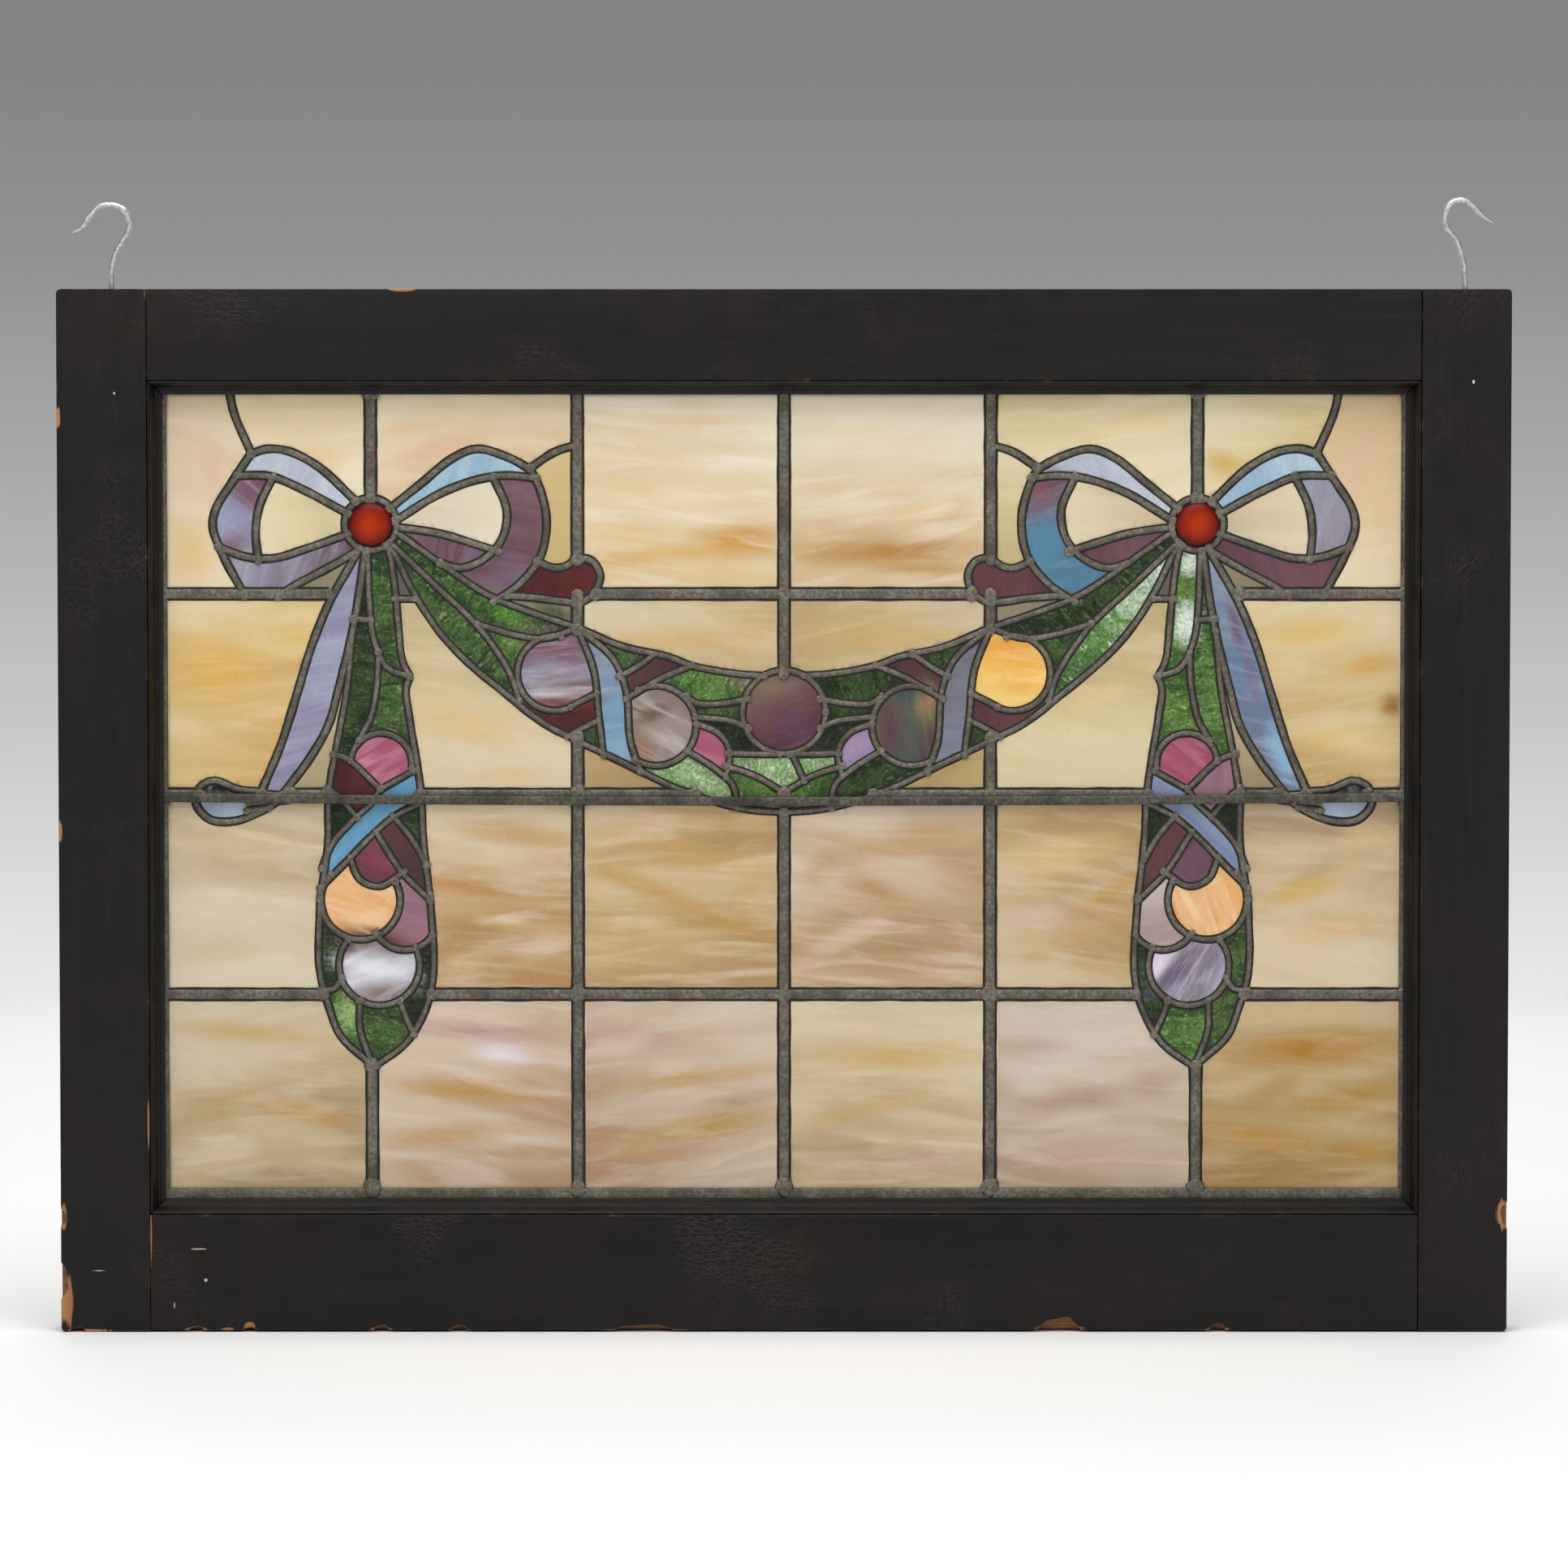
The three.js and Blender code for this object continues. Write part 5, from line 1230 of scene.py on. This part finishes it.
wire = {
    "radius": 1.7, "step": 1.5, "screwEnd": -72.0,
    "tip": 0.28, "taper": 0.09,  # thickness at the tip, and what each point behind it adds
    "waver": 0.02, "waverTurn": 1.3,  # hand-bent wire isn't quite even
    "greys": [(0.3, "9a9a97"), (0.8, "eaeae8"), (0.6, "d4d4d1")],
}


def wireMaterial():
    # drawn and galvanised wire: bright, faintly streaked along its length, dulled in spots
    material, add, place = newMaterial("galvanised steel wire")
    spangle = add(grain, [place, 0.5, 4, 0.6])
    tone = add(ramp, [spangle], stops=wire["greys"])
    rough = add(ramp, [spangle], stops=[(0.3, 0.5), (0.7, 0.28)])
    finishMaterial(add, tone, rough, spangle, 0.1, Metallic=0.85)
    return material


galvanised = wireMaterial()
hooks = {
    "hook_left": {"shank": -414, "path": [
        (0, -38), (3, -28), (10, -16), (11, -9), (7, -2), (-1, 0.5), (-8, -1), (-14, -7), (-19, -14),
        (-25, -17)]},
    "hook_right": {"shank": 419.5, "path": [
        (-1, -36), (-5, -22), (-11, -14), (-12.5, -5), (-9, 1.5), (-3, 3.5), (2, 2), (8, -3.5), (12, -7.5),
        (18, -11)]},
}
for node, spec in hooks.items():
    route = smoothLine([(0, wire["screwEnd"]), (0, sash["top"])] + spec["path"], wire["step"])
    curve = bpy.data.curves.new(node, "CURVE")
    curve.dimensions = "3D"
    curve.bevel_depth = wire["radius"] * mm
    curve.bevel_resolution = 5
    curve.use_fill_caps = True
    spline = curve.splines.new("POLY")
    spline.points.add(len(route) - 1)
    for i, (point, p) in enumerate(zip(spline.points, route)):
        point.co = ((spec["shank"] + p.x) * mm, 0, p.y * mm, 1)
        thickness = min(1.0, wire["tip"] + wire["taper"] * (len(route) - 1 - i))
        point.radius = thickness * (1 + wire["waver"] * math.sin(i * wire["waverTurn"]))
    holder = bpy.data.objects.new("wire", curve)
    bpy.context.scene.collection.objects.link(holder)
    mesh = bpy.data.meshes.new_from_object(holder.evaluated_get(bpy.context.evaluated_depsgraph_get()))
    bpy.data.objects.remove(holder)
    mesh.polygons.foreach_set("use_smooth", [True] * len(mesh.polygons))
    mesh.materials.clear()
    addPiece(node + "_wire", windingOutward(mesh), [node], [galvanised])

print("stage: studio")

studio = {
    "floorTop": -0.6952, "floorRadius": 2.5, "floorCorners": 120,
    # brightness of the air behind the window, by the height of the line of sight in degrees
    "air": [(-6.6, "ffffff"), (-5.6, "f4f4f4"), (-4.4, "e0e0e0"), (-3.2, "cacaca"), (-1.6, "aeaeae"),
            (0.2, "929292"), (1.6, "848484")],
    "airSpan": (-8, 4),
    "aim": (0, 0, -0.4),
    "lamps": {
        "soft key": {"at": (-1.5, -2.7, 1.3), "size": 2.2, "watts": 19},
        "soft fill": {"at": (1.9, -2.9, 0.5), "size": 2.4, "watts": 12},
        "overhead": {"at": (0.0, -0.8, 1.9), "size": 2.2, "watts": 58},
        "behind": {"at": (0.0, 2.3, 1.5), "size": 2.4, "watts": 40},
    },
}


def paperMaterial():
    # matt backdrop paper, nearly white
    material, add, place = newMaterial("matt white paper")
    tone = add(ramp, [add(grain, [place, 0.8, 2])], stops=[(0.3, "f7f7f7"), (0.7, "fafafa")])
    finishMaterial(add, tone, 0.9, add(grain, [place, 1.5, 2]), 0.02)
    return material


mesh = bpy.data.meshes.new("paper_floor")
corners = studio["floorCorners"]
rim = arcLine((0, 0), studio["floorRadius"], 0, 360 - 360 / corners, corners - 1)
mesh.from_pydata([(x, y, studio["floorTop"]) for x, y in rim], [], [tuple(range(corners))])
mesh.materials.append(paperMaterial())
paper = bpy.data.objects.new("paper_floor", mesh)
bpy.context.scene.collection.objects.link(paper)

for name, spec in studio["lamps"].items():
    light = bpy.data.lights.new(name, "AREA")
    light.size = spec["size"]
    light.energy = spec["watts"]
    lamp = bpy.data.objects.new(name, light)
    lamp.location = spec["at"]
    lamp.rotation_euler = (Vector(studio["aim"]) - lamp.location).to_track_quat("-Z", "Y").to_euler()
    bpy.context.scene.collection.objects.link(lamp)

# a grey studio that pales towards the floor
world = bpy.data.worlds.new("studio air")
bpy.context.scene.world = world
world.use_nodes = True
world.node_tree.nodes.clear()
add = partial(addNode, world.node_tree)
sight = add("ShaderNodeSeparateXYZ", [add("ShaderNodeTexCoord").outputs["Generated"]]).outputs[2]
lowest, highest = (math.sin(math.radians(rise)) for rise in studio["airSpan"])
share = add("ShaderNodeMapRange", [sight, lowest, highest, 0.0, 1.0])
stops = [((math.sin(math.radians(rise)) - lowest) / (highest - lowest), hue) for rise, hue in studio["air"]]
tone = add(ramp, [share], stops=stops[:1] + stops[-1:] + stops[1:-1])
add("ShaderNodeOutputWorld", [add("ShaderNodeBackground", [tone, 1.0])])

bpy.context.scene.view_settings.view_transform = "Standard"

# a long lens nearly level with the window; across is the width of the view at the target
shot = {
    "elevation": 3.5, "distance": 5.0, "target": (0.0, -0.0175, -0.3555), "across": 0.966, "sensor": 36.0,
}
lens = bpy.data.cameras.new("camera")
lens.sensor_width = shot["sensor"]
lens.lens = shot["sensor"] * shot["distance"] / shot["across"]
camera = bpy.data.objects.new("camera", lens)
rise = math.radians(shot["elevation"])
camera.location = Vector(shot["target"]) + shot["distance"] * Vector((0, -math.cos(rise), math.sin(rise)))
camera.rotation_euler = (math.pi / 2 - rise, 0, 0)
bpy.context.scene.collection.objects.link(camera)
bpy.context.scene.camera = camera

bpy.context.view_layer.update()
